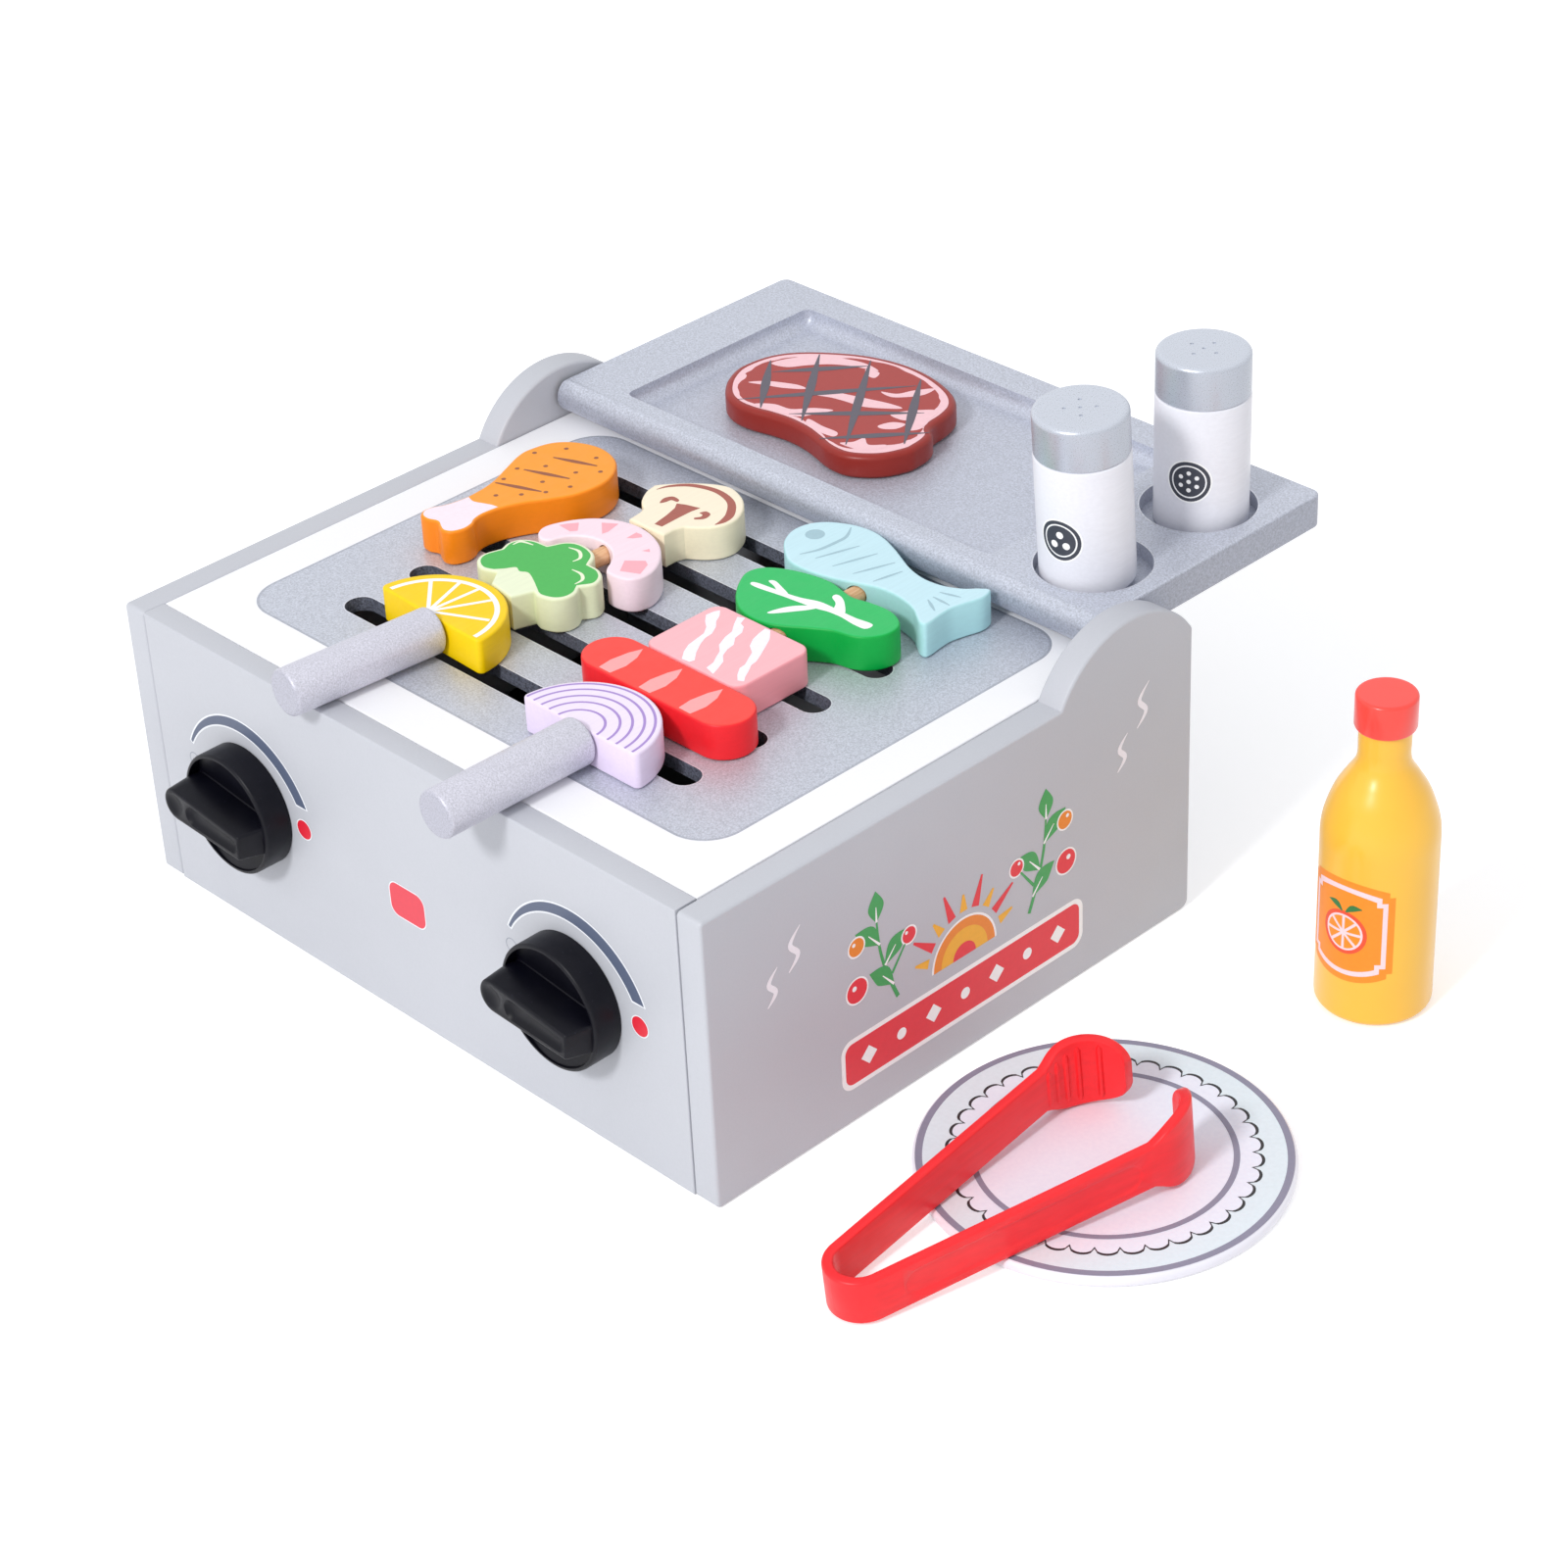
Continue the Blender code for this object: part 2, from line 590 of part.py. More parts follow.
def build_sides(wood):
    ear_z = BODY_HEIGHT + EAR_RISE - EAR_RADIUS
    ear_y = BACK_Y - EAR_FROM_BACK
    start = math.asin((BODY_HEIGHT - ear_z) / EAR_RADIUS)
    stop = math.acos(EAR_FROM_BACK / EAR_RADIUS)
    crest = arc((ear_y, ear_z), EAR_RADIUS, stop, math.pi - start, EAR_STEPS)
    corners = [(FRONT_Y, 0, PANEL_FRONT_CORNER), (BACK_Y, 0, PANEL_BACK_CORNER)]
    corners.append((*crest[0], EAR_CORNER))
    corners += [(y, z, 0) for y, z in crest[2:]]
    corners.append((FRONT_Y, BODY_HEIGHT, PANEL_FRONT_CORNER))
    outline = rounded(corners)
    pin_radius = HINGE_PIN_DIAMETER / 2 + GAP
    for side, name in ((-1, "left_side_panel"), (1, "right_side_panel")):
        x = -BODY_WIDTH / 2 if side < 0 else INNER_X
        panel = add_object(name, prism(outline, 0, SIDE_THICKNESS), wood, placed(x, 0, 0, SIDE_ON))
        round_edges(panel, PANEL_ROUNDING)
        boolean(panel, dowel_holes(name + "_dowel_holes"))
        inner = (side * (INNER_X - OVERRUN), HINGE_Y, HINGE_Z)
        outer = (side * (INNER_X + HINGE_PIN_IN_EAR + GAP), HINGE_Y, HINGE_Z)
        cut(panel, name + "_pin_hole", rod(inner, outer, pin_radius))


def build_cross_panels(wood):
    x = INNER_X - GAP
    levels = (
        ("front_panel", FRONT_Y, FRONT_Y + FRONT_THICKNESS, 0, BODY_HEIGHT),
        ("back_panel", BACK_Y - BACK_THICKNESS, BACK_Y, 0, TRAY_BOTTOM - GAP),
        ("base_panel", BOARD_FRONT_Y, BOARD_BACK_Y, 0, BASE_THICKNESS),
    )
    for name, near, far, low, high in levels:
        panel = add_object(name, box((-x, near, low), (x, far, high)), wood)
        round_edges(panel, BOARD_ROUNDING)
        boolean(panel, dowel_holes(name + "_dowel_holes"))
        if name == "front_panel":
            for side, knob_x in knob_places():
                near_end = (knob_x, FRONT_Y - OVERRUN, KNOB_HEIGHT)
                far_end = (knob_x, FRONT_Y + FRONT_THICKNESS + OVERRUN, KNOB_HEIGHT)
                hole = rod(near_end, far_end, SPINDLE_DIAMETER / 2 + GAP, ROUND_STEPS // 2)
                cut(panel, "spindle_hole_" + side, hole)
    for number, (start, end) in enumerate(dowel_spots(), 1):
        add_object(f"panel_dowel_{number:02d}", rod(start, end, DOWEL_DIAMETER / 2), wood)


def build_deck(white, wood):
    x = INNER_X - GAP
    bottom = BODY_HEIGHT - BOARD_THICKNESS
    board = add_object(
        "deck_board", box((-x, BOARD_FRONT_Y, bottom), (x, BOARD_BACK_Y, BODY_HEIGHT)), white)
    round_edges(board, BOARD_ROUNDING)
    slots = []
    for index in range(SLOT_COUNT):
        y = FRONT_Y + SLOT_FROM_FRONT + index * SLOT_PITCH
        outline = stadium(SLOT_LENGTH, SLOT_WIDTH, (0, y))
        slots.append(prism(outline, bottom - OVERRUN, BODY_HEIGHT + OVERRUN))
    cut(board, "deck_slots", join_meshes(slots))
    top = bottom - GAP
    for side, name in ((-1, "left_cleat"), (1, "right_cleat")):
        near, far = sorted((side * x, side * (x - CLEAT_SIZE)))
        shape = box((near, BOARD_FRONT_Y, top - CLEAT_SIZE), (far, BOARD_BACK_Y, top))
        add_object(name, shape, wood)


def tray_ring(height):
    """Plan outline of the tray at a height over its hinge axis, with its round nose."""
    half = TRAY_THICKNESS / 2
    nose = math.sqrt(max(half**2 - height**2, 0))
    depth = half - abs(height)
    inset = 0
    if depth < TRAY_ROUNDING:
        inset = TRAY_ROUNDING - math.sqrt(TRAY_ROUNDING**2 - (TRAY_ROUNDING - depth) ** 2)
    x = TRAY_HALF_WIDTH - inset
    y = TRAY_LENGTH - inset
    corner = TRAY_CORNER - inset
    plan = rounded(((-x, -nose, 0), (x, -nose, 0), (x, y, corner), (-x, y, corner)))
    return flat_ring(plan, height)


def tray_heights():
    """Levels of the tray's rings: even steps round the nose, and the edge rounding's."""
    half = TRAY_THICKNESS / 2
    steps = HALF_ROUND_STEPS
    levels = {half * math.sin(math.pi * (step / steps - 1 / 2)) for step in range(steps + 1)}
    for sign in (-1, 1):
        levels.add(sign * (half - TRAY_ROUNDING))
    return sorted(levels)


def build_tray(silver, steel):
    tray = add_object(
        "tray", loft([tray_ring(z) for z in tray_heights()]), silver, placed(0, HINGE_Y, HINGE_Z))
    top = TRAY_TOP + OVERRUN
    recess = rounded_box(
        RECESS_WIDTH, RECESS_LENGTH, RECESS_CORNER,
        (RECESS_LEFT_X + RECESS_WIDTH / 2, HINGE_Y + RECESS_FROM_HINGE + RECESS_LENGTH / 2))
    cut(tray, "tray_recess", prism(recess, TRAY_TOP - RECESS_DEPTH, top))
    pockets = []
    for index in range(2):
        spot = (POCKET_X, HINGE_Y + POCKET_FROM_HINGE + index * POCKET_PITCH)
        outline = circle(POCKET_DIAMETER / 2, ROUND_STEPS, spot)
        pockets.append(prism(outline, TRAY_TOP - POCKET_DEPTH, top))
    cut(tray, "tray_pockets", join_meshes(pockets))
    pieces = []
    holes = []
    for side, word in ((-1, "left"), (1, "right")):
        outer = side * (INNER_X + HINGE_PIN_IN_EAR)
        inner = side * (TRAY_HALF_WIDTH - HINGE_PIN_IN_TRAY)
        pin = rod((inner, HINGE_Y, HINGE_Z), (outer, HINGE_Y, HINGE_Z), HINGE_PIN_DIAMETER / 2, BEND_STEPS)
        pieces.append(add_object("hinge_pin_" + word, pin, steel))
        end = (inner - side * GAP, HINGE_Y, HINGE_Z)
        mouth = (side * (TRAY_HALF_WIDTH + OVERRUN), HINGE_Y, HINGE_Z)
        holes.append(rod(end, mouth, HINGE_PIN_DIAMETER / 2 + GAP, BEND_STEPS))
        near = (side * (TRAY_HALF_WIDTH + GAP), HINGE_Y, HINGE_Z)
        far = (side * (INNER_X - GAP), HINGE_Y, HINGE_Z)
        ring = rod(near, far, SPACER_DIAMETER / 2, BARREL_STEPS)
        spacer = add_object("hinge_spacer_" + word, ring, silver)
        past = Vector((side * OVERRUN, 0, 0))
        hole = rod(Vector(near) - past, Vector(far) + past, HINGE_PIN_DIAMETER / 2 + GAP, BEND_STEPS)
        cut(spacer, "spacer_hole_" + word, hole)
    cut(tray, "tray_pin_holes", join_meshes(holes))
    hinge = pivot("tray_hinge", (0, HINGE_Y, HINGE_Z))
    hang(hinge, tray)
    return hinge


def knob_places():
    reach = KNOB_SPACING / 2
    return (("left", KNOBS_MIDDLE_X - reach), ("right", KNOBS_MIDDLE_X + reach))


def knob_scoop(side):
    """Half-moon cutter beside the pointer, deeper towards the pointer's foot."""
    radius = KNOB_DIAMETER / 2 - KNOB_LIP
    chord = POINTER_TAIL_WIDTH / 2
    start = math.asin(chord / radius)
    outline = arc((0, 0), radius, start, math.pi - start, ROUND_STEPS // 2)
    if side < 0:
        outline = [(x, -y) for x, y in reversed(outline)]
    fall = (KNOB_SCOOP_AT_BAR - KNOB_SCOOP_AT_LIP) / (radius - chord)
    floor = []
    for x, y in outline:
        depth = KNOB_SCOOP_AT_BAR - fall * (abs(y) - chord)
        floor.append((x, y, KNOB_DRUM_DEPTH - depth))
    return loft([floor, flat_ring(outline, KNOB_DRUM_DEPTH + OVERRUN)])


def pointer_ring(draft, tail, height):
    """Outline of the pointer bar with a round head at -X and a narrower square tail at +X."""
    radius = POINTER_HEAD_WIDTH / 2 - draft
    half_tail = POINTER_TAIL_WIDTH / 2 - draft
    round_head = arc((POINTER_HEAD_X, 0), radius, math.pi / 2, 3 * math.pi / 2, HALF_ROUND_STEPS)
    return flat_ring(round_head + [(tail, -half_tail), (tail, half_tail)], height)


def build_knob(word, x, black, wood, steel):
    name = "knob_" + word
    turned_on = FACE_ON @ Matrix.Rotation(KNOB_TURN, 4, "Z")
    place = placed(x, FRONT_Y - GAP, KNOB_HEIGHT, turned_on)
    radius = KNOB_DIAMETER / 2
    shoulder = KNOB_DRUM_DEPTH - KNOB_ROUNDING
    drum = ((radius, 0), (radius, shoulder), (radius - KNOB_ROUNDING, KNOB_DRUM_DEPTH))
    knob = add_object(name, turned(drum, DRUM_STEPS), black, place)
    for side in (-1, 1):
        cut(knob, f"{name}_scoop_{side}", knob_scoop(side), place)
    foot = KNOB_DRUM_DEPTH - KNOB_SCOOP_AT_BAR - KNOB_ROUNDING
    long_tail = radius - KNOB_ROUNDING * 2
    tail = long_tail - POINTER_SLOPE_LENGTH
    rings = [
        pointer_ring(0, long_tail, foot),
        pointer_ring(0, long_tail, KNOB_DRUM_DEPTH),
        pointer_ring(POINTER_DRAFT, tail, KNOB_TOTAL_DEPTH),
    ]
    bar = add_object(name + "_bar", loft(rings), place=place)
    round_edges(bar, POINTER_ROUNDING)
    boolean(knob, bar, "UNION")
    face = KNOB_TOTAL_DEPTH + OVERRUN
    dimple = circle(POINTER_DIMPLE_DIAMETER / 2, SMALL_ROUND_STEPS, (POINTER_HEAD_X, 0))
    cut(knob, name + "_dimple", prism(dimple, KNOB_TOTAL_DEPTH - POINTER_DIMPLE_DEPTH, face), place)
    groove_x = (POINTER_HEAD_X + POINTER_HEAD_WIDTH / 2 + tail) / 2
    groove = stadium(POINTER_GROOVE_LENGTH, POINTER_GROOVE_WIDTH, (groove_x, 0), HALF_ROUND_STEPS)
    cut(knob, name + "_groove", prism(groove, KNOB_TOTAL_DEPTH - POINTER_GROOVE_DEPTH, face), place)

    knob_back = FRONT_Y - GAP
    socket = knob_back - SPINDLE_IN_KNOB
    inside = FRONT_Y + FRONT_THICKNESS
    washer_y = inside + SPINDLE_STUB + GAP
    head_y = washer_y + WASHER_THICKNESS + GAP

    def along(near, far, radius, steps=SMALL_ROUND_STEPS):
        return rod((x, near, KNOB_HEIGHT), (x, far, KNOB_HEIGHT), radius, steps)

    bore = along(socket - GAP, knob_back + OVERRUN, SPINDLE_DIAMETER / 2 + GAP)
    cut(knob, name + "_bore", bore)
    spindle = add_object(name + "_spindle", along(socket, washer_y - GAP, SPINDLE_DIAMETER / 2), wood)
    screw_hole = KNOB_SCREW_DIAMETER / 2 + GAP
    deep = head_y - KNOB_SCREW_LENGTH - GAP
    cut(spindle, name + "_screw_hole", along(deep, washer_y, screw_hole))
    disc = along(washer_y, washer_y + WASHER_THICKNESS, WASHER_DIAMETER / 2, BARREL_STEPS)
    washer = add_object(name + "_washer", disc, steel)
    cut(washer, name + "_washer_hole", along(inside, head_y + OVERRUN, screw_hole))
    head = KNOB_SCREW_HEAD_DIAMETER / 2
    screw_profile = (
        (KNOB_SCREW_DIAMETER / 2, 0), (KNOB_SCREW_DIAMETER / 2, KNOB_SCREW_LENGTH),
        (head, KNOB_SCREW_LENGTH),
        (head * math.cos(KNOB_SCREW_HEAD_ANGLE), KNOB_SCREW_LENGTH + KNOB_SCREW_HEAD_HEIGHT))
    inward = Matrix.Rotation(-math.pi / 2, 4, "X")
    screw = add_object(
        name + "_screw", turned(screw_profile, BEND_STEPS), steel,
        placed(x, head_y - KNOB_SCREW_LENGTH, KNOB_HEIGHT, inward))
    axis = pivot(name + "_axis", (x, FRONT_Y, KNOB_HEIGHT))
    hang(axis, knob, spindle, washer, screw)


class Skewer:
    """Handle and stick lying on the deck, with a running place for the next food."""

    def __init__(self, word, x, end, yaw, reach):
        self.word = word
        self.turn = Matrix.Rotation(yaw, 4, "Z")
        self.way = self.turn @ Vector((0, 1, 0))
        self.root = Vector((x, FRONT_Y + end, STICK_Z))
        self.reach = reach
        self.next_y = self.root.y + GAP

    def build(self, silver, wood):
        radius = HANDLE_DIAMETER / 2
        rounding = HANDLE_ROUNDING
        inset = rounding * (1 - math.cos(math.pi / 4))
        profile = [(radius - rounding, 0), (radius - inset, inset), (radius, rounding)]
        profile += [(r, HANDLE_LENGTH - z) for r, z in reversed(profile)]
        along = self.turn @ Matrix.Rotation(-math.pi / 2, 4, "X")
        back = self.root - self.way * HANDLE_LENGTH
        handle = add_object(
            "skewer_handle_" + self.word, turned(profile, HANDLE_STEPS), silver,
            Matrix.Translation(back) @ along)
        socket = self.root - self.way * STICK_IN_HANDLE
        tip = self.root + self.way * self.reach
        mouth = self.root + self.way * OVERRUN
        bore = rod(socket - self.way * GAP, mouth, STICK_DIAMETER / 2 + GAP, SMALL_ROUND_STEPS)
        cut(handle, "skewer_bore_" + self.word, bore)
        thick = STICK_DIAMETER / 2
        length = (tip - socket).length
        round_tip = [
            (thick * math.cos(a), length - thick + thick * math.sin(a))
            for a in TIP_ANGLES]
        stick = add_object(
            "skewer_stick_" + self.word, turned([(thick, 0)] + round_tip, SMALL_ROUND_STEPS), wood,
            Matrix.Translation(socket) @ along)
        hang(pivot("skewer_pull_" + self.word, self.root, self.turn), handle, stick)

    def thread(self, name, outline, length, shift, space, coat, yaw=0.0):
        """Add the next food along the stick and drill it for the stick."""
        middle = self.next_y + space + length / 2
        x = self.root.x + (middle - self.root.y) * self.way.x / self.way.y + shift
        turn = Matrix.Rotation(yaw, 4, "Z")
        food = add_object(
            name, prism(outline, 0, FOOD_THICKNESS), coat, placed(x, middle, FOOD_Z, turn))
        round_edges(food, FOOD_ROUNDING)
        bore = rod(
            self.root - self.way * OVERRUN, self.root + self.way * (self.reach + GAP),
            STICK_DIAMETER / 2 + STICK_CLEARANCE, SMALL_ROUND_STEPS)
        cut(food, name + "_bore", bore)
        self.next_y = middle + length / 2 + GAP
        return food


def build_left_skewer(coats):
    skewer = Skewer(
        "left", SKEWER_LEFT_X, SKEWER_LEFT_END, SKEWER_LEFT_YAW, SKEWER_LEFT_REACH)
    skewer.build(coats["silver"], coats["stick"])
    lemon = skewer.thread(
        "lemon", half_disc(LEMON_RADIUS, LEMON_CORNER), LEMON_RADIUS, LEMON_SHIFT, LEMON_SPACE,
        coats["lemon"], LEMON_YAW)
    broccoli = skewer.thread(
        "broccoli", smooth_loop(BROCCOLI_SHARES, BROCCOLI_WIDTH, BROCCOLI_LENGTH),
        BROCCOLI_LENGTH, BROCCOLI_SHIFT, BROCCOLI_SPACE, coats["broccoli"])
    shrimp = skewer.thread(
        "shrimp", smooth_loop(SHRIMP_SHARES, SHRIMP_WIDTH, SHRIMP_LENGTH),
        SHRIMP_LENGTH, SHRIMP_SHIFT, -SHRIMP_NEST, coats["shrimp"])
    mushroom = skewer.thread(
        "mushroom", smooth_loop(MUSHROOM_SHARES, MUSHROOM_WIDTH, MUSHROOM_LENGTH),
        MUSHROOM_LENGTH, MUSHROOM_SHIFT, MUSHROOM_SPACE, coats["mushroom"])
    hang(pivot("skewer_lift_left", skewer.root), lemon, broccoli, shrimp, mushroom)


def build_right_skewer(coats):
    skewer = Skewer(
        "right", SKEWER_RIGHT_X, SKEWER_RIGHT_END, SKEWER_RIGHT_YAW, SKEWER_RIGHT_REACH)
    skewer.build(coats["silver"], coats["stick"])
    onion = skewer.thread(
        "onion", half_disc(ONION_RADIUS, ONION_CORNER), ONION_RADIUS, ONION_SHIFT, 0,
        coats["onion"])
    sausage = skewer.thread(
        "sausage", stadium(SAUSAGE_LENGTH, SAUSAGE_WIDTH, steps=HALF_ROUND_STEPS), SAUSAGE_WIDTH,
        SAUSAGE_SHIFT, 0, coats["sausage"])
    bacon = skewer.thread(
        "bacon", rounded_box(BACON_WIDTH, BACON_LENGTH, BACON_CORNER), BACON_LENGTH,
        BACON_SHIFT, 0, coats["bacon"])
    leaf = skewer.thread(
        "leaf", smooth_loop(LEAF_SHARES, LEAF_WIDTH, LEAF_LENGTH), LEAF_LENGTH,
        LEAF_SHIFT, LEAF_SPACE, coats["leaf"])
    fish = skewer.thread(
        "fish", smooth_loop(FISH_SHARES, FISH_WIDTH, FISH_LENGTH), FISH_LENGTH,
        FISH_SHIFT, -FISH_NEST, coats["fish"])
    hang(pivot("skewer_lift_right", skewer.root), onion, sausage, bacon, leaf, fish)


def build_loose_food(coats, tray_hinge):
    drumstick = add_object(
        "drumstick",
        prism(smooth_loop(DRUMSTICK_SHARES, DRUMSTICK_WIDTH, DRUMSTICK_LENGTH), 0, FOOD_THICKNESS),
        coats["chicken"], placed(DRUMSTICK_X, FRONT_Y + DRUMSTICK_FROM_FRONT, FOOD_Z))
    round_edges(drumstick, FOOD_ROUNDING)
    steak = add_object(
        "steak", prism(smooth_loop(STEAK_SHARES, STEAK_WIDTH, STEAK_LENGTH), 0, STEAK_THICKNESS),
        coats["steak"],
        placed(RECESS_LEFT_X + STEAK_FROM_RECESS_LEFT, HINGE_Y + STEAK_FROM_HINGE,
               TRAY_TOP - RECESS_DEPTH + GAP))
    round_edges(steak, STEAK_ROUNDING, 2)
    hang(tray_hinge, steak)


def build_shaker(name, place, turn, white, silver, tray_hinge):
    radius = SHAKER_DIAMETER / 2
    rounding = SHAKER_ROUNDING
    inset = rounding * (1 - math.cos(math.pi / 4))
    cap_bottom = SHAKER_HEIGHT - SHAKER_CAP_HEIGHT
    body_profile = (
        (radius - rounding, 0), (radius - inset, inset), (radius, rounding),
        (radius, cap_bottom - GAP))
    body = add_object(name + "_shaker_body", turned(body_profile), white, place)
    cap_profile = (
        (radius, cap_bottom), (radius, SHAKER_HEIGHT - rounding),
        (radius - inset, SHAKER_HEIGHT - inset), (radius - rounding, SHAKER_HEIGHT))
    cap = add_object(name + "_shaker_cap", turned(cap_profile), silver, place)
    spots = [(0, 0)]
    for index in range(SHAKER_HOLE_COUNT):
        angle = turn + 2 * math.pi * index / SHAKER_HOLE_COUNT
        spots.append((SHAKER_HOLE_RING_RADIUS * math.cos(angle),
                      SHAKER_HOLE_RING_RADIUS * math.sin(angle)))
    holes = [
        prism(circle(SHAKER_HOLE_DIAMETER / 2, PIN_STEPS, spot),
              SHAKER_HEIGHT - SHAKER_HOLE_DEPTH, SHAKER_HEIGHT + OVERRUN)
        for spot in spots]
    cut(cap, name + "_shaker_holes", join_meshes(holes), place)
    hang(tray_hinge, body, cap)


def build_shakers(white, silver, tray_hinge):
    """Salt upright in the back pocket, pepper askew in the front one on its lower edge."""
    foot = TRAY_TOP - POCKET_DEPTH + GAP
    front_y = HINGE_Y + POCKET_FROM_HINGE
    salt = placed(POCKET_X + SALT_SHIFT, front_y + POCKET_PITCH + SALT_SHIFT, foot)
    build_shaker("salt", salt, 0, white, silver, tray_hinge)
    raised = foot + SHAKER_DIAMETER / 2 * math.sin(PEPPER_LEAN)
    pepper = placed(
        POCKET_X + PEPPER_SHIFT_X, front_y + PEPPER_SHIFT_Y, raised,
        Matrix.Rotation(PEPPER_LEAN, 4, "X"))
    build_shaker("pepper", pepper, PEPPER_TURN, white, silver, tray_hinge)


def build_plate(white):
    radius = PLATE_DIAMETER / 2
    profile = []
    for a in RIM_ANGLES:
        profile.append((radius - PLATE_ROUNDING + PLATE_ROUNDING * math.cos(a),
                        PLATE_ROUNDING + PLATE_ROUNDING * math.sin(a)))
    profile += [(r, PLATE_THICKNESS - z) for r, z in reversed(profile)]
    place = placed(PLATE_X, FRONT_Y + PLATE_FROM_FRONT, 0)
    add_object("plate", turned(profile, WIDE_ROUND_STEPS), white, place)


def band_section(half_height, middle, thickness=TONGS_BAND_THICKNESS):
    """Chamfered cross-section of the tongs' band as (across, up) pairs."""
    x, z, c = thickness / 2, half_height, TONGS_BAND_ROUNDING
    corners = ((-x + c, -z), (x - c, -z), (x, -z + c), (x, z - c),
               (x - c, z), (-x + c, z), (-x, z - c), (-x, -z + c))
    return [(middle + a, b) for a, b in corners]


def paddle_half_height(share):
    """Half height of the paddle at a share of its length."""
    for (low, first), (high, last) in zip(PADDLE_SHARES, PADDLE_SHARES[1:]):
        if share <= high:
            height = first + (last - first) * (share - low) / (high - low)
            return TONGS_PADDLE_HEIGHT / 2 * height


def arm_point(side, along, across, up):
    """Point of an arm square to its path, which runs straight and then curls inward."""
    bent = max(along - (TONGS_ARM_LENGTH - TONGS_CURL_LENGTH), 0)
    turn = bent / TONGS_CURL_RADIUS
    inward = TONGS_CURL_RADIUS * (1 - math.cos(turn))
    forward = along - bent + TONGS_CURL_RADIUS * math.sin(turn)
    return (-side * inward + across * math.cos(turn), forward + side * across * math.sin(turn), up)


def build_tongs_arm(word, side, red, frame):
    """Arm with its paddle; side is the sign of the arm's X in the tongs' frame."""
    name = f"tongs_{word}_arm"
    swing = Matrix.Rotation(-side * TONGS_SPREAD, 4, "Z")
    root = Vector((side * TONGS_BEND_RADIUS * math.cos(TONGS_SPREAD),
                   -TONGS_BEND_RADIUS * math.sin(TONGS_SPREAD), 0))
    place = frame @ Matrix.Translation(root) @ swing
    start = TONGS_ARM_LENGTH - TONGS_PADDLE_LENGTH
    stations = [(GAP / 2, TONGS_BAND_HEIGHT / 2)]
    for share, _ in PADDLE_SHARES:
        stations.append((start + TONGS_PADDLE_LENGTH * share, paddle_half_height(share)))
    rings = [
        [arm_point(side, along, across, up) for across, up in band_section(half_height, 0)]
        for along, half_height in stations]
    arm = add_object(name, loft(rings), red, place)
    half = TONGS_BAND_THICKNESS / 2
    ribs = []
    for share in PADDLE_RIB_SHARES:
        middle = start + TONGS_PADDLE_LENGTH * share
        near, far = middle - TONGS_RIB_WIDTH / 2, middle + TONGS_RIB_WIDTH / 2
        crest = -side * (half + TONGS_RIB_RISE)
        corners = ((near, 0), (far, 0), (far, crest), (near, crest))
        reach = paddle_half_height(share) * RIB_REACH_SHARE
        ribs.append(loft([
            [arm_point(side, along, across, up) for along, across in corners]
            for up in (-reach, reach)]))
    boolean(arm, add_object(name + "_ribs", join_meshes(ribs), place=place), "UNION")
    groove_length = start - 2 * TONGS_GROOVE_END
    groove = stadium(groove_length, TONGS_GROOVE_WIDTH, (TONGS_GROOVE_END + groove_length / 2, 0), 6)
    floor, top = sorted((side * (half - TONGS_GROOVE_DEPTH), side * (half + OVERRUN)))
    cut(arm, name + "_groove", prism(groove, floor, top), place @ SIDE_ON)
    return arm


def build_tongs(red):
    lean = (TONGS_PADDLE_HEIGHT - TONGS_BAND_HEIGHT) / 2 + PLATE_THICKNESS + TONGS_OVER_PLATE
    reach = TONGS_ARM_LENGTH - TONGS_PADDLE_LENGTH * (1 - PADDLE_WIDEST_SHARE)
    pitch = math.asin(lean / (reach + TONGS_BEND_RADIUS))
    drop = (TONGS_BEND_RADIUS + TONGS_BAND_THICKNESS / 2) * math.sin(pitch)
    z = GAP + drop + TONGS_BAND_HEIGHT / 2
    turn = Matrix.Rotation(TONGS_YAW, 4, "Z") @ Matrix.Rotation(pitch, 4, "X")
    frame = placed(TONGS_X, FRONT_Y + TONGS_FROM_FRONT, z, turn)
    start = math.pi + TONGS_SPREAD
    stop = 2 * math.pi - TONGS_SPREAD
    trim = GAP / 2 / TONGS_BEND_RADIUS
    rings = []
    for step in range(BEND_STEPS + 1):
        share = step / BEND_STEPS
        angle = start + trim + (stop - start - 2 * trim) * share
        section = band_section(TONGS_BAND_HEIGHT / 2, TONGS_BEND_RADIUS)
        rings.append([(r * math.cos(angle), r * math.sin(angle), up) for r, up in section])
    bend = add_object("tongs_bend", loft(rings), red, frame)
    left = build_tongs_arm("left", -1, red, frame)
    right = build_tongs_arm("right", 1, red, frame)
    hang(pivot("tongs_pivot", frame.translation, turn), bend, left, right)


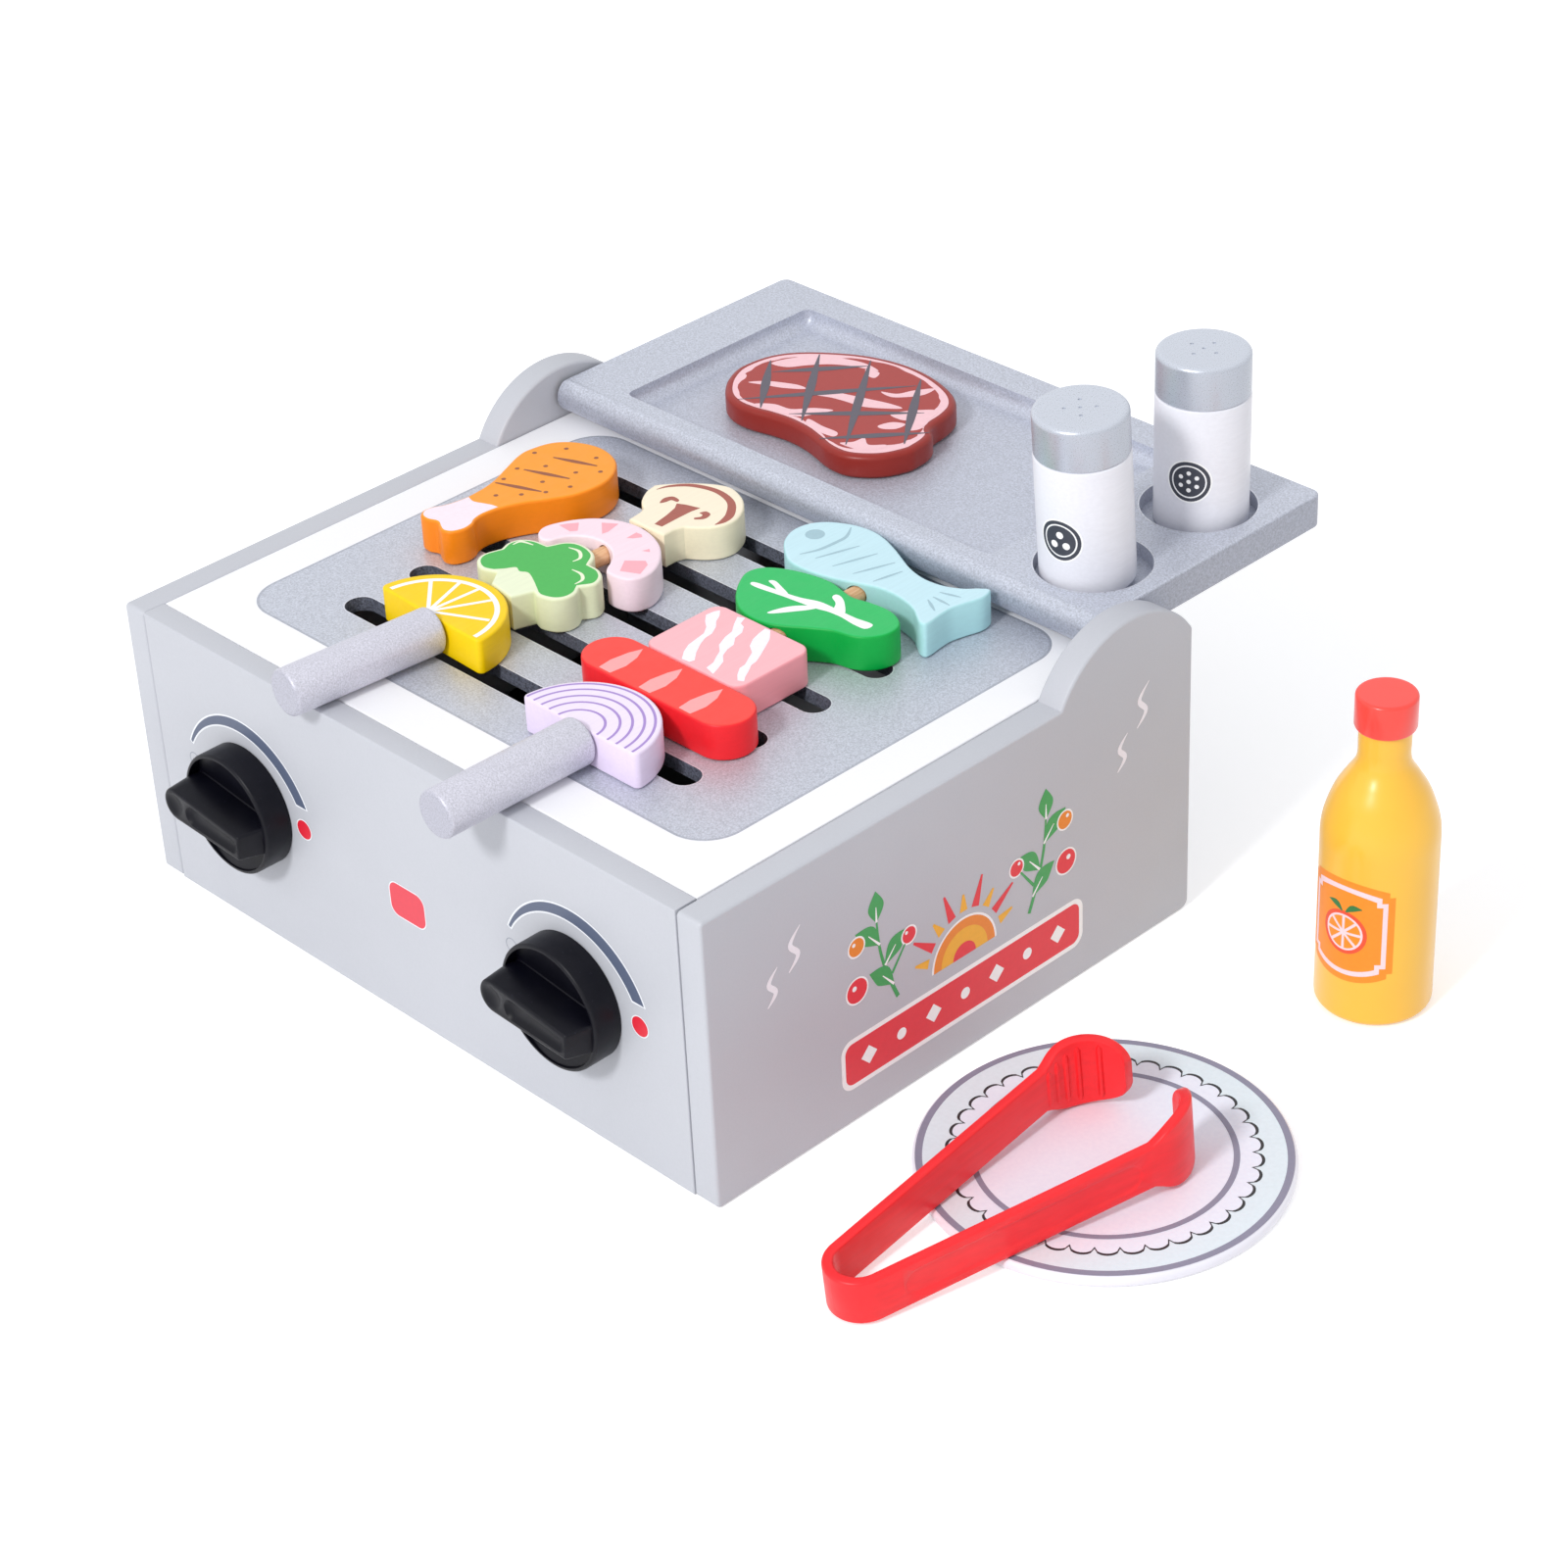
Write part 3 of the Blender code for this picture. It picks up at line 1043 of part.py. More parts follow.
def build_bottle(yellow, red):
    place = placed(BOTTLE_X, FRONT_Y + BOTTLE_FROM_FRONT, 0)
    radius = BOTTLE_DIAMETER / 2
    neck = BOTTLE_NECK_DIAMETER / 2
    foot = BOTTLE_FOOT_ROUNDING
    profile = []
    for a in FOOT_ANGLES:
        profile.append((radius - foot + foot * math.cos(a), foot + foot * math.sin(a)))
    profile.append((radius, BOTTLE_STRAIGHT_HEIGHT))
    for inward, upward in SHOULDER_SHARES:
        profile.append((radius + (neck - radius) * inward,
                        BOTTLE_STRAIGHT_HEIGHT + BOTTLE_SHOULDER_HEIGHT * upward))
    profile.append((neck, BOTTLE_STRAIGHT_HEIGHT + BOTTLE_SHOULDER_HEIGHT))
    profile.append((neck, BOTTLE_HEIGHT - GAP))
    add_object("bottle_body", turned(profile, DRUM_STEPS), yellow, place)
    cap = BOTTLE_CAP_DIAMETER / 2
    top = BOTTLE_HEIGHT + BOTTLE_CAP_HEIGHT
    edge = BOTTLE_CAP_ROUNDING
    cap_profile = (
        (cap - edge, BOTTLE_HEIGHT), (cap, BOTTLE_HEIGHT + edge),
        (cap, top - edge), (cap - edge, top))
    add_object("bottle_cap", turned(cap_profile, HANDLE_STEPS), red, place)


def build():
    clear_scene()
    silver = paint("silver_paint", (0.53, 0.55, 0.63), 0.38, 0.7)
    coats = {
        "body": paint("grey_paint", (0.66, 0.68, 0.73), 0.4),
        "white": paint("white_paint", (0.93, 0.93, 0.96), 0.4),
        "silver": silver,
        "black": paint("black_plastic", (0.012, 0.012, 0.018), 0.35),
        "stick": paint("bare_wood", (0.80, 0.50, 0.27), 0.6),
        "steel": paint("steel", (0.55, 0.55, 0.57), 0.3, 1.0),
        "lemon": paint("lemon_yellow", (1.0, 0.68, 0.01), 0.4),
        "broccoli": paint("leaf_cream", (0.85, 0.93, 0.68), 0.45),
        "shrimp": paint("shrimp_pink", (0.95, 0.72, 0.85), 0.45),
        "mushroom": paint("mushroom_cream", (0.97, 0.86, 0.62), 0.45),
        "onion": paint("onion_lilac", (0.91, 0.80, 0.95), 0.45),
        "sausage": paint("sausage_red", (0.90, 0.05, 0.04), 0.4),
        "bacon": paint("bacon_pink", (0.97, 0.52, 0.56), 0.4),
        "leaf": paint("leaf_green", (0.02, 0.50, 0.14), 0.4),
        "fish": paint("fish_blue", (0.55, 0.82, 0.87), 0.4),
        "chicken": paint("roast_orange", (1.0, 0.38, 0.04), 0.4),
        "steak": paint("steak_red", (0.42, 0.05, 0.04), 0.45),
        "tongs": paint("tongs_red", (0.90, 0.04, 0.05), 0.35),
        "bottle": paint("bottle_yellow", (1.0, 0.55, 0.06), 0.35),
        "cap": paint("cap_red", (1.0, 0.08, 0.06), 0.35),
    }
    build_sides(coats["body"])
    build_cross_panels(coats["body"])
    build_deck(coats["white"], coats["stick"])
    tray_hinge = build_tray(silver, coats["steel"])
    for word, x in knob_places():
        build_knob(word, x, coats["black"], coats["stick"], coats["steel"])
    build_left_skewer(coats)
    build_right_skewer(coats)
    build_loose_food(coats, tray_hinge)
    build_shakers(coats["white"], silver, tray_hinge)
    build_plate(coats["white"])
    build_tongs(coats["tongs"])
    build_bottle(coats["bottle"], coats["cap"])


build()
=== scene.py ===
"""Looks of the toy barbecue grill: finer bodies, prints, materials, floor, light and camera.

Shapes are made in millimetres and scaled on the way into the scene. Depths written as
"from the front" count from the box's front face, which lies at FRONT on the Y axis.
"""
from math import acos, asin, cos, pi, radians, sin, sqrt, tan

import bmesh
import bpy
from mathutils import Matrix, Vector


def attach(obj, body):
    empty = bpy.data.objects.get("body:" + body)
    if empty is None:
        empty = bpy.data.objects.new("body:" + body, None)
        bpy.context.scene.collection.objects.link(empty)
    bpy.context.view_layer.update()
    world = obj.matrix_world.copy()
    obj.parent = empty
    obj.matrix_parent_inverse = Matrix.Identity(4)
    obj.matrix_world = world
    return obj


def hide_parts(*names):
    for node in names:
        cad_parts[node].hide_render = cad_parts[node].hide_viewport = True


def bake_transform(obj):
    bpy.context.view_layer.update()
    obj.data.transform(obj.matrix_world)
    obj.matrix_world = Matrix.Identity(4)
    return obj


MM = 0.001
GAP = 0.3
FRONT, BACK, RIGHT, DECK = -105.5, 105.5, 135.0, 102.0
SIDE_BOARD, FRONT_BOARD = 10.0, 8.5
BOARD_END = RIGHT - SIDE_BOARD - GAP
SLOT_LENGTH, SLOT_WIDTH = 162.0, 10.5
SLOT_MIDDLES = [(0, 50 + 27 * row) for row in range(5)]
TRAY_HALF, TRAY_EDGE = 6.0, RIGHT - SIDE_BOARD - 1.6
RECESS_LEFT, RECESS_DEPTH = 24.4 - TRAY_EDGE, 6.0
POCKET_X, POCKET_Y, POCKET_PITCH = TRAY_EDGE - 24.9, 22.2, 50.6
POCKET_RADIUS, POCKET_DEPTH = 19.0, 5.0
HINGE_Y, HINGE_Z = BACK - 27.5, DECK + 2.4 + TRAY_HALF
FOOD_THICK, FOOD_FOOT = 12.4, DECK + GAP
FOOD_TOP = FOOD_FOOT + FOOD_THICK
STEAK_WIDTH, STEAK_LENGTH, STEAK_THICK = 87.5, 61.5, 8.5
SHAKER_RADIUS, PLATE_HIGH = 15.4, 4.0
SHARP = radians(34)

# Food outlines in thousandths of their width and length; a third value marks a sharp corner
BROCCOLI = (
    (-500, -205), (-485, -310), (-420, -390), (-325, -425), (-205, -375, 1), (-105, -540, 1),
    (173, -590, 1), (238, -385, 1), (325, -410), (441, -365), (503, -270), (503, -150),
    (455, -52, 1), (515, 75), (470, 205), (370, 280), (255, 290, 1), (180, 425), (70, 485),
    (-60, 490), (-160, 420), (-222, 275, 1), (-360, 255), (-460, 175), (-490, 60), (-460, -55, 1),
)
SHRIMP = (
    (-490, -230), (-463, -75), (-413, 95), (-335, 265), (-235, 390), (-115, 470), (20, 490),
    (155, 440), (280, 335), (375, 195), (445, 45), (490, -120), (500, -270), (480, -390),
    (425, -470), (345, -500), (268, -490), (228, -420), (192, -310), (135, -185), (35, -75),
    (-75, -45), (-190, -95), (-268, -205), (-303, -320), (-325, -425), (-372, -480), (-435, -440),
    (-478, -350),
)
MUSHROOM = (
    (-485, 115), (-270, 345), (-5, 500), (225, 450), (390, 320), (480, 170), (500, 40),
    (470, -75), (385, -180), (245, -280, 1), (220, -365), (225, -500, 1), (-220, -500, 1),
    (-240, -360), (-265, -285, 1), (-380, -200), (-470, -65), (-500, 45),
)
LEAF = (
    (-500, 80), (-480, 235), (-420, 340), (-330, 420), (-215, 480), (-95, 500), (0, 465),
    (100, 430), (210, 470), (325, 485), (415, 440), (480, 345), (500, 215), (485, 80), (435, -45),
    (365, -115), (265, -155), (190, -230), (115, -320), (45, -405), (-35, -475), (-130, -500),
    (-225, -475), (-305, -400), (-380, -280), (-455, -100),
)
FISH = (
    (-500, 40), (-485, 195), (-440, 330), (-370, 430), (-300, 485), (-225, 500), (-145, 465),
    (-55, 385), (25, 295), (110, 205), (195, 155), (265, 155), (330, 190), (390, 265), (435, 365),
    (480, 415), (500, 260), (478, 60), (462, -110), (466, -270), (474, -410), (470, -485),
    (440, -490), (396, -425), (345, -348), (277, -295), (204, -270), (119, -283), (44, -340),
    (-30, -405), (-95, -455), (-205, -500), (-315, -485), (-390, -380), (-455, -240), (-490, -90),
)
DRUMSTICK = (
    (-500, 270), (-440, 385), (-270, 465), (-20, 500), (245, 465), (425, 375), (500, 260),
    (470, 125), (360, 15), (235, -85), (155, -180), (125, -270), (145, -330), (190, -370),
    (205, -425), (160, -480), (75, -500), (-10, -485), (-90, -465), (-190, -480), (-290, -470),
    (-345, -430), (-330, -380), (-285, -335), (-255, -270), (-245, -190), (-285, -55),
    (-415, 105), (-485, 195),
)
STEAK = (
    (-500, -115), (-490, 35), (-455, 150), (-390, 255), (-295, 355), (-200, 430), (-90, 480),
    (25, 500), (140, 485), (250, 440), (330, 380), (385, 295), (412, 185), (422, 85), (440, 25),
    (474, -15), (494, -80), (502, -165), (500, -235), (465, -355), (405, -445), (330, -500),
    (240, -500), (155, -465), (70, -435), (-25, -425), (-115, -440), (-200, -465), (-285, -465),
    (-365, -420), (-435, -325), (-480, -220),
)


# Shapes

def loft(rings, slot=0):
    """Closed surface through rings of equal point counts."""
    bm = bmesh.new()
    loops = [[bm.verts.new(point) for point in ring] for ring in rings]
    for lower, upper in zip(loops, loops[1:]):
        for index in range(len(lower)):
            after = (index + 1) % len(lower)
            bm.faces.new((lower[index], lower[after], upper[after], upper[index]))
    bm.faces.new(tuple(reversed(loops[0])))
    bm.faces.new(loops[-1])
    for face in bm.faces:
        face.material_index = slot
    return bm


def flat_ring(outline, height):
    return [(x, y, height) for x, y in outline]


def prism(outline, low, high, slot=0):
    return loft([flat_ring(outline, low), flat_ring(outline, high)], slot)


def circle(radius, steps, center=(0, 0)):
    turns = [2 * pi * step / steps for step in range(steps)]
    return [(center[0] + radius * cos(a), center[1] + radius * sin(a)) for a in turns]


def arc(center, radius, start, stop, steps):
    turns = [start + (stop - start) * step / steps for step in range(steps + 1)]
    return [(center[0] + radius * cos(a), center[1] + radius * sin(a)) for a in turns]


def bow(x, z, radius, *degrees):
    """Points of a rounded corner in a turned profile."""
    turns = [radians(t) for t in degrees]
    return [(x + radius * cos(a), z + radius * sin(a)) for a in turns]


def turned(profile, steps=96):
    return loft([flat_ring(circle(radius, steps), height) for radius, height in profile])


def rounded(corners, steps=6):
    """Outline through (x, y, radius) corners, counterclockwise, each rounded by its radius."""
    outline = []
    for index, (x, y, radius) in enumerate(corners):
        here = Vector((x, y))
        if not radius:
            outline.append((x, y))
            continue
        to_last = (Vector(corners[index - 1][:2]) - here).normalized()
        to_next = (Vector(corners[(index + 1) % len(corners)][:2]) - here).normalized()
        half_angle = to_last.angle(to_next) / 2
        center = here + (to_last + to_next).normalized() * radius / sin(half_angle)
        enter = here + to_last * radius / tan(half_angle) - center
        leave = here + to_next * radius / tan(half_angle) - center
        sweep = enter.angle_signed(leave, 0)
        for step in range(steps + 1):
            spoke = enter.copy()
            spoke.rotate(Matrix.Rotation(-sweep * step / steps, 2))
            outline.append(tuple(center + spoke))
    return outline


def rounded_box(width, length, radius, center=(0, 0)):
    x, y = width / 2, length / 2
    corners = ((-x, -y), (x, -y), (x, y), (-x, y))
    return rounded([(center[0] + a, center[1] + b, radius) for a, b in corners], 8)


def stadium(length, width, center=(0, 0), steps=20):
    radius = width / 2
    reach = length / 2 - radius
    x, y = center
    right = arc((x + reach, y), radius, -pi / 2, pi / 2, steps)
    left = arc((x - reach, y), radius, pi / 2, 3 * pi / 2, steps)
    return right + left


def smooth_loop(table, width, length, steps=7):
    """Counterclockwise curve through a table's points, some of them sharp corners."""
    points = [Vector((x / 1000 * width, y / 1000 * length)) for x, y, *_ in table]
    sharp = [len(row) > 2 for row in table]
    if sum(points[i - 1].cross(points[i]) for i in range(len(points))) < 0:
        points.reverse()
        sharp.reverse()
    count = len(points)
    outline = []
    for index in range(count):
        last, here = points[index - 1], points[index]
        ahead, beyond = points[(index + 1) % count], points[(index + 2) % count]
        leave = ahead - here if sharp[index] else (ahead - last) / 2
        arrive = ahead - here if sharp[(index + 1) % count] else (beyond - here) / 2
        for step in range(steps):
            t = step / steps
            spot = here * (2 * t**3 - 3 * t**2 + 1) + leave * (t**3 - 2 * t**2 + t)
            spot += ahead * (3 * t**2 - 2 * t**3) + arrive * (t**3 - t**2)
            outline.append(tuple(spot))
    return outline


def half_disc(radius, corner):
    reach = sqrt((radius - corner) ** 2 - corner**2)
    tip = asin(corner / (radius - corner))
    right = arc((reach, corner), corner, -pi / 2, tip, 8)
    rim = arc((0, 0), radius, tip, pi - tip, 64)[1:-1]
    left = arc((-reach, corner), corner, pi - tip, 3 * pi / 2, 8)
    return [(x, y - radius / 2) for x, y in right + rim + left]


def inset(outline, amount, steps=6):
    """Counterclockwise outline moved inward in small steps, evened out where it grows tight."""
    spots = [Vector(point) for point in outline]
    count = len(spots)
    spans = [(spots[(i + 1) % count] - spots[i - 1]).length for i in range(count)]
    for _ in range(steps):
        moved = []
        for index, spot in enumerate(spots):
            back = (spot - spots[index - 1]).normalized()
            ahead = (spots[(index + 1) % count] - spot).normalized()
            miter = Vector((-back.y - ahead.y, back.x + ahead.x))
            miter /= max(miter.length_squared / 2, 0.5)
            moved.append(spot + miter * amount / steps)
        spots = []
        for index, spot in enumerate(moved):
            last, after = moved[index - 1], moved[(index + 1) % count]
            tight = 1 - (after - last).length / (0.6 * spans[index])
            spots.append(spot.lerp((last + after) / 2, 0.6 * min(max(tight, 0), 1)))
    return untangled([tuple(spot) for spot in spots])


def untangled(outline, reach=12):
    """The outline with each small loop that crosses itself drawn together at its crossing."""
    spots = list(outline)
    count = len(spots)
    for start in range(count):
        for gap in range(min(reach, count // 3), 1, -1):
            a, b = spots[start], spots[(start + 1) % count]
            c, d = spots[(start + gap) % count], spots[(start + gap + 1) % count]
            across = (b[0] - a[0]) * (d[1] - c[1]) - (b[1] - a[1]) * (d[0] - c[0])
            if abs(across) < 1e-9:
                continue
            t = ((c[0] - a[0]) * (d[1] - c[1]) - (c[1] - a[1]) * (d[0] - c[0])) / across
            u = ((c[0] - a[0]) * (b[1] - a[1]) - (c[1] - a[1]) * (b[0] - a[0])) / across
            if 0 < t < 1 and 0 < u < 1:
                for step in range(1, gap + 1):
                    nudge = 1e-3 * step / (gap + 1)
                    spots[(start + step) % count] = tuple(
                        p + (q - p) * t + (r - p) * nudge for p, q, r in zip(a, b, d))
                break
    return spots


def slab(outline, low, high, edge):
    """Flat block with rounded edges and a narrow level rim that keeps its faces flat."""
    rings = [(low, edge + 0.25)]
    for step in range(5):
        a = pi / 2 * step / 4
        rings.append((low + edge * (1 - cos(a)), edge * (1 - sin(a))))
    rings += [(low + high - z, inward) for z, inward in reversed(rings)]
    return loft([flat_ring(inset(outline, inward), z) for z, inward in rings])


def rod(start, end, radius):
    bm = prism(circle(radius, 40), 0, (end - start).length)
    turn = Vector((0, 0, 1)).rotation_difference(end - start).to_matrix().to_4x4()
    bmesh.ops.transform(bm, matrix=Matrix.Translation(start) @ turn, verts=bm.verts)
    return bm


def joined(*parts):
    whole = bmesh.new()
    for part in parts:
        piece = mesh_from("piece", part)
        whole.from_mesh(piece)
        bpy.data.meshes.remove(piece)
    return whole


def turn_by(degrees, axis="Z"):
    return Matrix.Rotation(radians(degrees), 4, axis)


def placed(x, y, z, turn=None):
    return Matrix.Translation((x, y, z)) @ (turn or Matrix())


def between(start, end):
    return ((start[0] + end[0]) / 2, (start[1] + end[1]) / 2)


# Turns for a flat shape, so that its face looks along X or towards the front
SIDE_ON = Matrix(((0, 0, 1, 0), (1, 0, 0, 0), (0, 1, 0, 0), (0, 0, 0, 1)))
FACE_ON = Matrix(((1, 0, 0, 0), (0, 0, -1, 0), (0, 1, 0, 0), (0, 0, 0, 1)))


def mesh_from(name, bm, materials=()):
    mesh = bpy.data.meshes.new(name)
    bm.to_mesh(mesh)
    bm.free()
    for material in materials:
        mesh.materials.append(material)
    return mesh


def added(name, data):
    obj = bpy.data.objects.new(name, data)
    bpy.context.collection.objects.link(obj)
    return obj


def evaluated(obj):
    """Mesh of an object with its modifiers applied."""
    bpy.context.view_layer.update()
    graph = bpy.context.evaluated_depsgraph_get()
    return bpy.data.meshes.new_from_object(obj.evaluated_get(graph))


def raw_object(name, bm, coats, place=None):
    bmesh.ops.recalc_face_normals(bm, faces=bm.faces)
    mesh = mesh_from(name, bm, [COATS[coat] for coat in coats])
    if place is not None:
        mesh.transform(place)
    return added(name, mesh)


def make(name, bm, coats, body, replaces=(), place=None, cuts=()):
    """A finished piece on its body: shapes cut out of it, scaled to metres."""
    obj = raw_object(name, bm, coats, place)
    helpers = []
    for shape in cuts:
        helpers.append(raw_object(name + "_helper", shape, coats, place))
        cut = obj.modifiers.new("cut", "BOOLEAN")
        cut.operation = "DIFFERENCE"
        cut.solver = "EXACT"
        cut.object = helpers[-1]
    mesh = evaluated(obj)
    obj.modifiers.clear()
    obj.data = mesh
    for helper in helpers:
        bpy.data.objects.remove(helper, do_unlink=True)
    mesh.transform(Matrix.Scale(MM, 4))
    mesh.shade_smooth()
    mesh.set_sharp_from_angle(angle=SHARP)
    if body:
        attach(obj, body)
    if replaces:
        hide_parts(*replaces)
    return obj


# Materials

def linear(code):
    """Scene colour of a screen colour written as six hex digits."""
    values = [int(code[i:i + 2], 16) / 255 for i in (0, 2, 4)]
    return [v / 12.92 if v <= 0.04045 else ((v + 0.055) / 1.055) ** 2.4 for v in values] + [1.0]


class Nodes:
    """Small helper for a node tree."""

    def __init__(self, tree):
        self.tree = tree

    def node(self, kind, **settings):
        made = self.tree.nodes.new(kind)
        for key, value in settings.items():
            setattr(made, key, value)
        return made

    def link(self, output, target):
        self.tree.links.new(output, target)

    def fed(self, made, values):
        """The node with the sockets given linked or set."""
        for socket, value in values:
            if isinstance(value, bpy.types.NodeSocket):
                self.link(value, made.inputs[socket])
            else:
                made.inputs[socket].default_value = value
        return made

    def math(self, operation, first, second=0.0):
        made = self.node("ShaderNodeMath", operation=operation)
        return self.fed(made, enumerate((first, second))).outputs[0]

    def seen_directly(self):
        """1 for the camera's own rays and for those that metal or glass send on."""
        rays = self.node("ShaderNodeLightPath").outputs
        seen = self.math("MAXIMUM", rays["Is Camera Ray"], rays["Is Glossy Ray"])
        return self.math("MAXIMUM", seen, rays["Is Transmission Ray"])


class Coat(Nodes):
    """Principled material whose textures lie in the object's own space."""

    def __init__(self, name, roughness=0.4, metallic=0.0, specular=0.5, coat=0.0):
        self.material = bpy.data.materials.new(name)
        self.material.use_nodes = True
        super().__init__(self.material.node_tree)
        self.shader = self.tree.nodes["Principled BSDF"]
        self.fed(self.shader, (("Roughness", roughness), ("Metallic", metallic),
                               ("Specular IOR Level", specular), ("Coat Weight", coat),
                               ("Coat Roughness", 0.15)))
        self.place = self.node("ShaderNodeTexCoord").outputs["Object"]

    def stretched(self, *scale):
        made = self.node("ShaderNodeMapping")
        return self.fed(made, (("Scale", scale), ("Vector", self.place))).outputs["Vector"]

    def noise(self, scale, detail=2.0, place=None, rough=0.5):
        made = self.node("ShaderNodeTexNoise")
        return self.fed(made, (("Scale", scale), ("Detail", detail), ("Roughness", rough),
                               ("Vector", place or self.place))).outputs["Fac"]

    def ramp(self, value, *stops):
        """Colours or greys at positions along a value."""
        made = self.node("ShaderNodeValToRGB")
        elements = made.color_ramp.elements
        while len(elements) < len(stops):
            elements.new(0.5)
        for element, (position, color) in zip(elements, stops):
            element.position = position
            element.color = color if not isinstance(color, (int, float)) else (color,) * 3 + (1,)
        return self.fed(made, (("Fac", value),)).outputs["Color"]

    def mix(self, share, first, second, blend="MIX"):
        made = self.node("ShaderNodeMix", data_type="RGBA", blend_type=blend)
        return self.fed(made, ((0, share), (6, first), (7, second))).outputs[2]

    def color(self, value):
        self.fed(self.shader, (("Base Color", value),))

    def roughness(self, value):
        self.fed(self.shader, (("Roughness", value),))

    def bump(self, height, strength, distance):
        made = self.fed(self.node("ShaderNodeBump"), (("Strength", strength),
                                                      ("Distance", distance), ("Height", height)))
        self.fed(self.shader, (("Normal", made.outputs["Normal"]),))

    def facing(self, axis):
        """How far the surface faces along one axis."""
        split = self.node("ShaderNodeSeparateXYZ")
        self.link(self.node("ShaderNodeTexCoord").outputs["Normal"], split.inputs[0])
        return split.outputs[axis]

    def clouds(self, scale, detail, low, high):
        """Soft change between two colours or greys."""
        return self.ramp(self.noise(scale, detail), (0.3, low), (0.7, high))


def shade(color, factor):
    return [min(channel * factor, 1.0) for channel in color[:3]] + [1.0]


def wood_paint(name, side, top=None, roughness=0.42, spread=0.035, specular=0.3):
    """Sprayed paint on a block: faint clouds, orange peel, a trace of grain and a paler top; the
    top colour is partly the top's own print and partly painted light from above.
    """
    made = Coat(name, roughness, specular=specular)
    base = linear(side)
    tone = made.clouds(38, 3, shade(base, 1 - spread), shade(base, 1 + spread))
    # faces looking up take the top colour: partly the top's print, partly painted light from above
    if top:
        tone = made.mix(made.ramp(made.facing("Z"), (0.70, 0.0), (0.97, 1.0)), tone, linear(top))
    grain = made.noise(1, 4, made.stretched(900, 60, 900), 0.6)
    tone = made.mix(0.05, tone, made.ramp(grain, (0.35, 0.25), (0.65, 1.0)), "MULTIPLY")
    made.color(tone)
    peel = made.noise(1500, 2)
    made.roughness(made.clouds(220, 2, roughness - 0.05, roughness + 0.06))
    made.bump(made.mix(0.35, peel, grain), 0.16, 0.00012)
    return made.material


def board_paint(name, code, roughness=0.45):
    """Smooth satin paint on the boards with a very fine tooth."""
    made = Coat(name, roughness)
    base = linear(code)
    tone = made.clouds(9, 3, shade(base, 0.98), shade(base, 1.02))
    speck = made.noise(1400, 2)
    tone = made.mix(0.06, tone, made.ramp(speck, (0.3, 0.55), (0.7, 1.0)), "MULTIPLY")
    made.color(tone)
    made.roughness(made.clouds(60, 2, roughness - 0.04, roughness + 0.05))
    made.bump(speck, 0.12, 0.0001)
    return made.material


def sparkle(made, code, fine=1500, strength=1.0):
    """Metallic paint colour with small bright and dark flakes."""
    base = linear(code)
    flakes = made.noise(fine, 1.5, rough=0.7)
    tone = made.ramp(flakes, (0.30, shade(base, 1 - 0.20 * strength)), (0.50, base),
                     (0.72, shade(base, 1 + 0.22 * strength)))
    return made.mix(0.10, tone, made.clouds(14, 2, 0.75, 1.0), "MULTIPLY"), flakes


def silver_paint(name, code, roughness, metallic, fine=1500, strength=1.0, side=None, axis="Z"):
    """Metallic paint; with a side code, faces turned away from one axis take that second colour:
    painted light and shade by face direction.
    """
    made = Coat(name, roughness, metallic)
    tone, flakes = sparkle(made, code, fine, strength)
    if side:
        # painted light and shade: the first colour on faces along the axis, the side colour on the
        # rest
        up = made.ramp(made.math("ABSOLUTE", made.facing(axis)), (0.25, 0.0), (0.9, 1.0))
        tone = made.mix(up, sparkle(made, side, fine, strength)[0], tone)
    made.color(tone)
    made.roughness(made.ramp(flakes, (0.3, roughness - 0.08), (0.7, roughness + 0.10)))
    made.bump(flakes, 0.3, 0.0001)
    return made.material


def print_ink(name, code):
    made = Coat(name, 0.45)
    base = linear(code)
    made.color(made.clouds(700, 2, shade(base, 0.975), shade(base, 1.02)))
    made.bump(made.noise(1500, 2), 0.1, 0.0001)
    return made.material


def deck_coat():
    """White board with the silver grate area, its fine dark edge line and its grain of flakes."""
    made = Coat("deck_white_and_silver", 0.42)
    split = made.node("ShaderNodeSeparateXYZ")
    made.link(made.place, split.inputs[0])
    corner, line_inset, line_half = 0.014, 0.0004, 0.00045
    spans = []
    for axis, middle, half in (("X", 0.0005, 0.1092), ("Y", -0.0011, 0.0781)):
        span = made.math("ABSOLUTE", made.math("SUBTRACT", split.outputs[axis], middle))
        spans.append(made.math("SUBTRACT", span, half - corner))
    outside = [made.math("POWER", made.math("MAXIMUM", span, 0.0), 2.0) for span in spans]
    reach = made.math("SQRT", made.math("ADD", *outside))
    inside = made.math("MINIMUM", made.math("MAXIMUM", *spans), 0.0)
    away = made.math("SUBTRACT", made.math("ADD", reach, inside), corner)
    above = made.math("GREATER_THAN", split.outputs["Z"], (DECK - 0.5) * MM)
    in_print = made.math("MULTIPLY", made.math("LESS_THAN", away, 0.0), above)
    off_line = made.math("ABSOLUTE", made.math("ADD", away, line_inset))
    line = made.math("MULTIPLY", made.math("LESS_THAN", off_line, line_half), above)
    white = linear("F8F8FB")
    speck = made.noise(1400, 2)
    plain = made.mix(0.05, white, made.ramp(speck, (0.3, 0.6), (0.7, 1.0)), "MULTIPLY")
    silver, flakes = sparkle(made, "C5C9D4", 1700, 1.0)
    tone = made.mix(in_print, plain, silver)
    tone = made.mix(made.math("MULTIPLY", line, 0.45), tone, linear("9296A2"))
    made.color(tone)
    made.link(made.math("MULTIPLY", in_print, 0.3), made.shader.inputs["Metallic"])
    made.bump(made.mix(in_print, speck, flakes), 0.16, 0.0001)
    return made.material


def stick_wood():
    made = Coat("stick_beech", 0.55)
    grain = made.noise(1, 5, made.stretched(1500, 70, 1500), 0.62)
    made.color(made.ramp(grain, (0.25, linear("C98F5C")), (0.5, linear("E6B689")),
                         (0.8, linear("F2CBA2"))))
    made.bump(grain, 0.35, 0.0002)
    return made.material


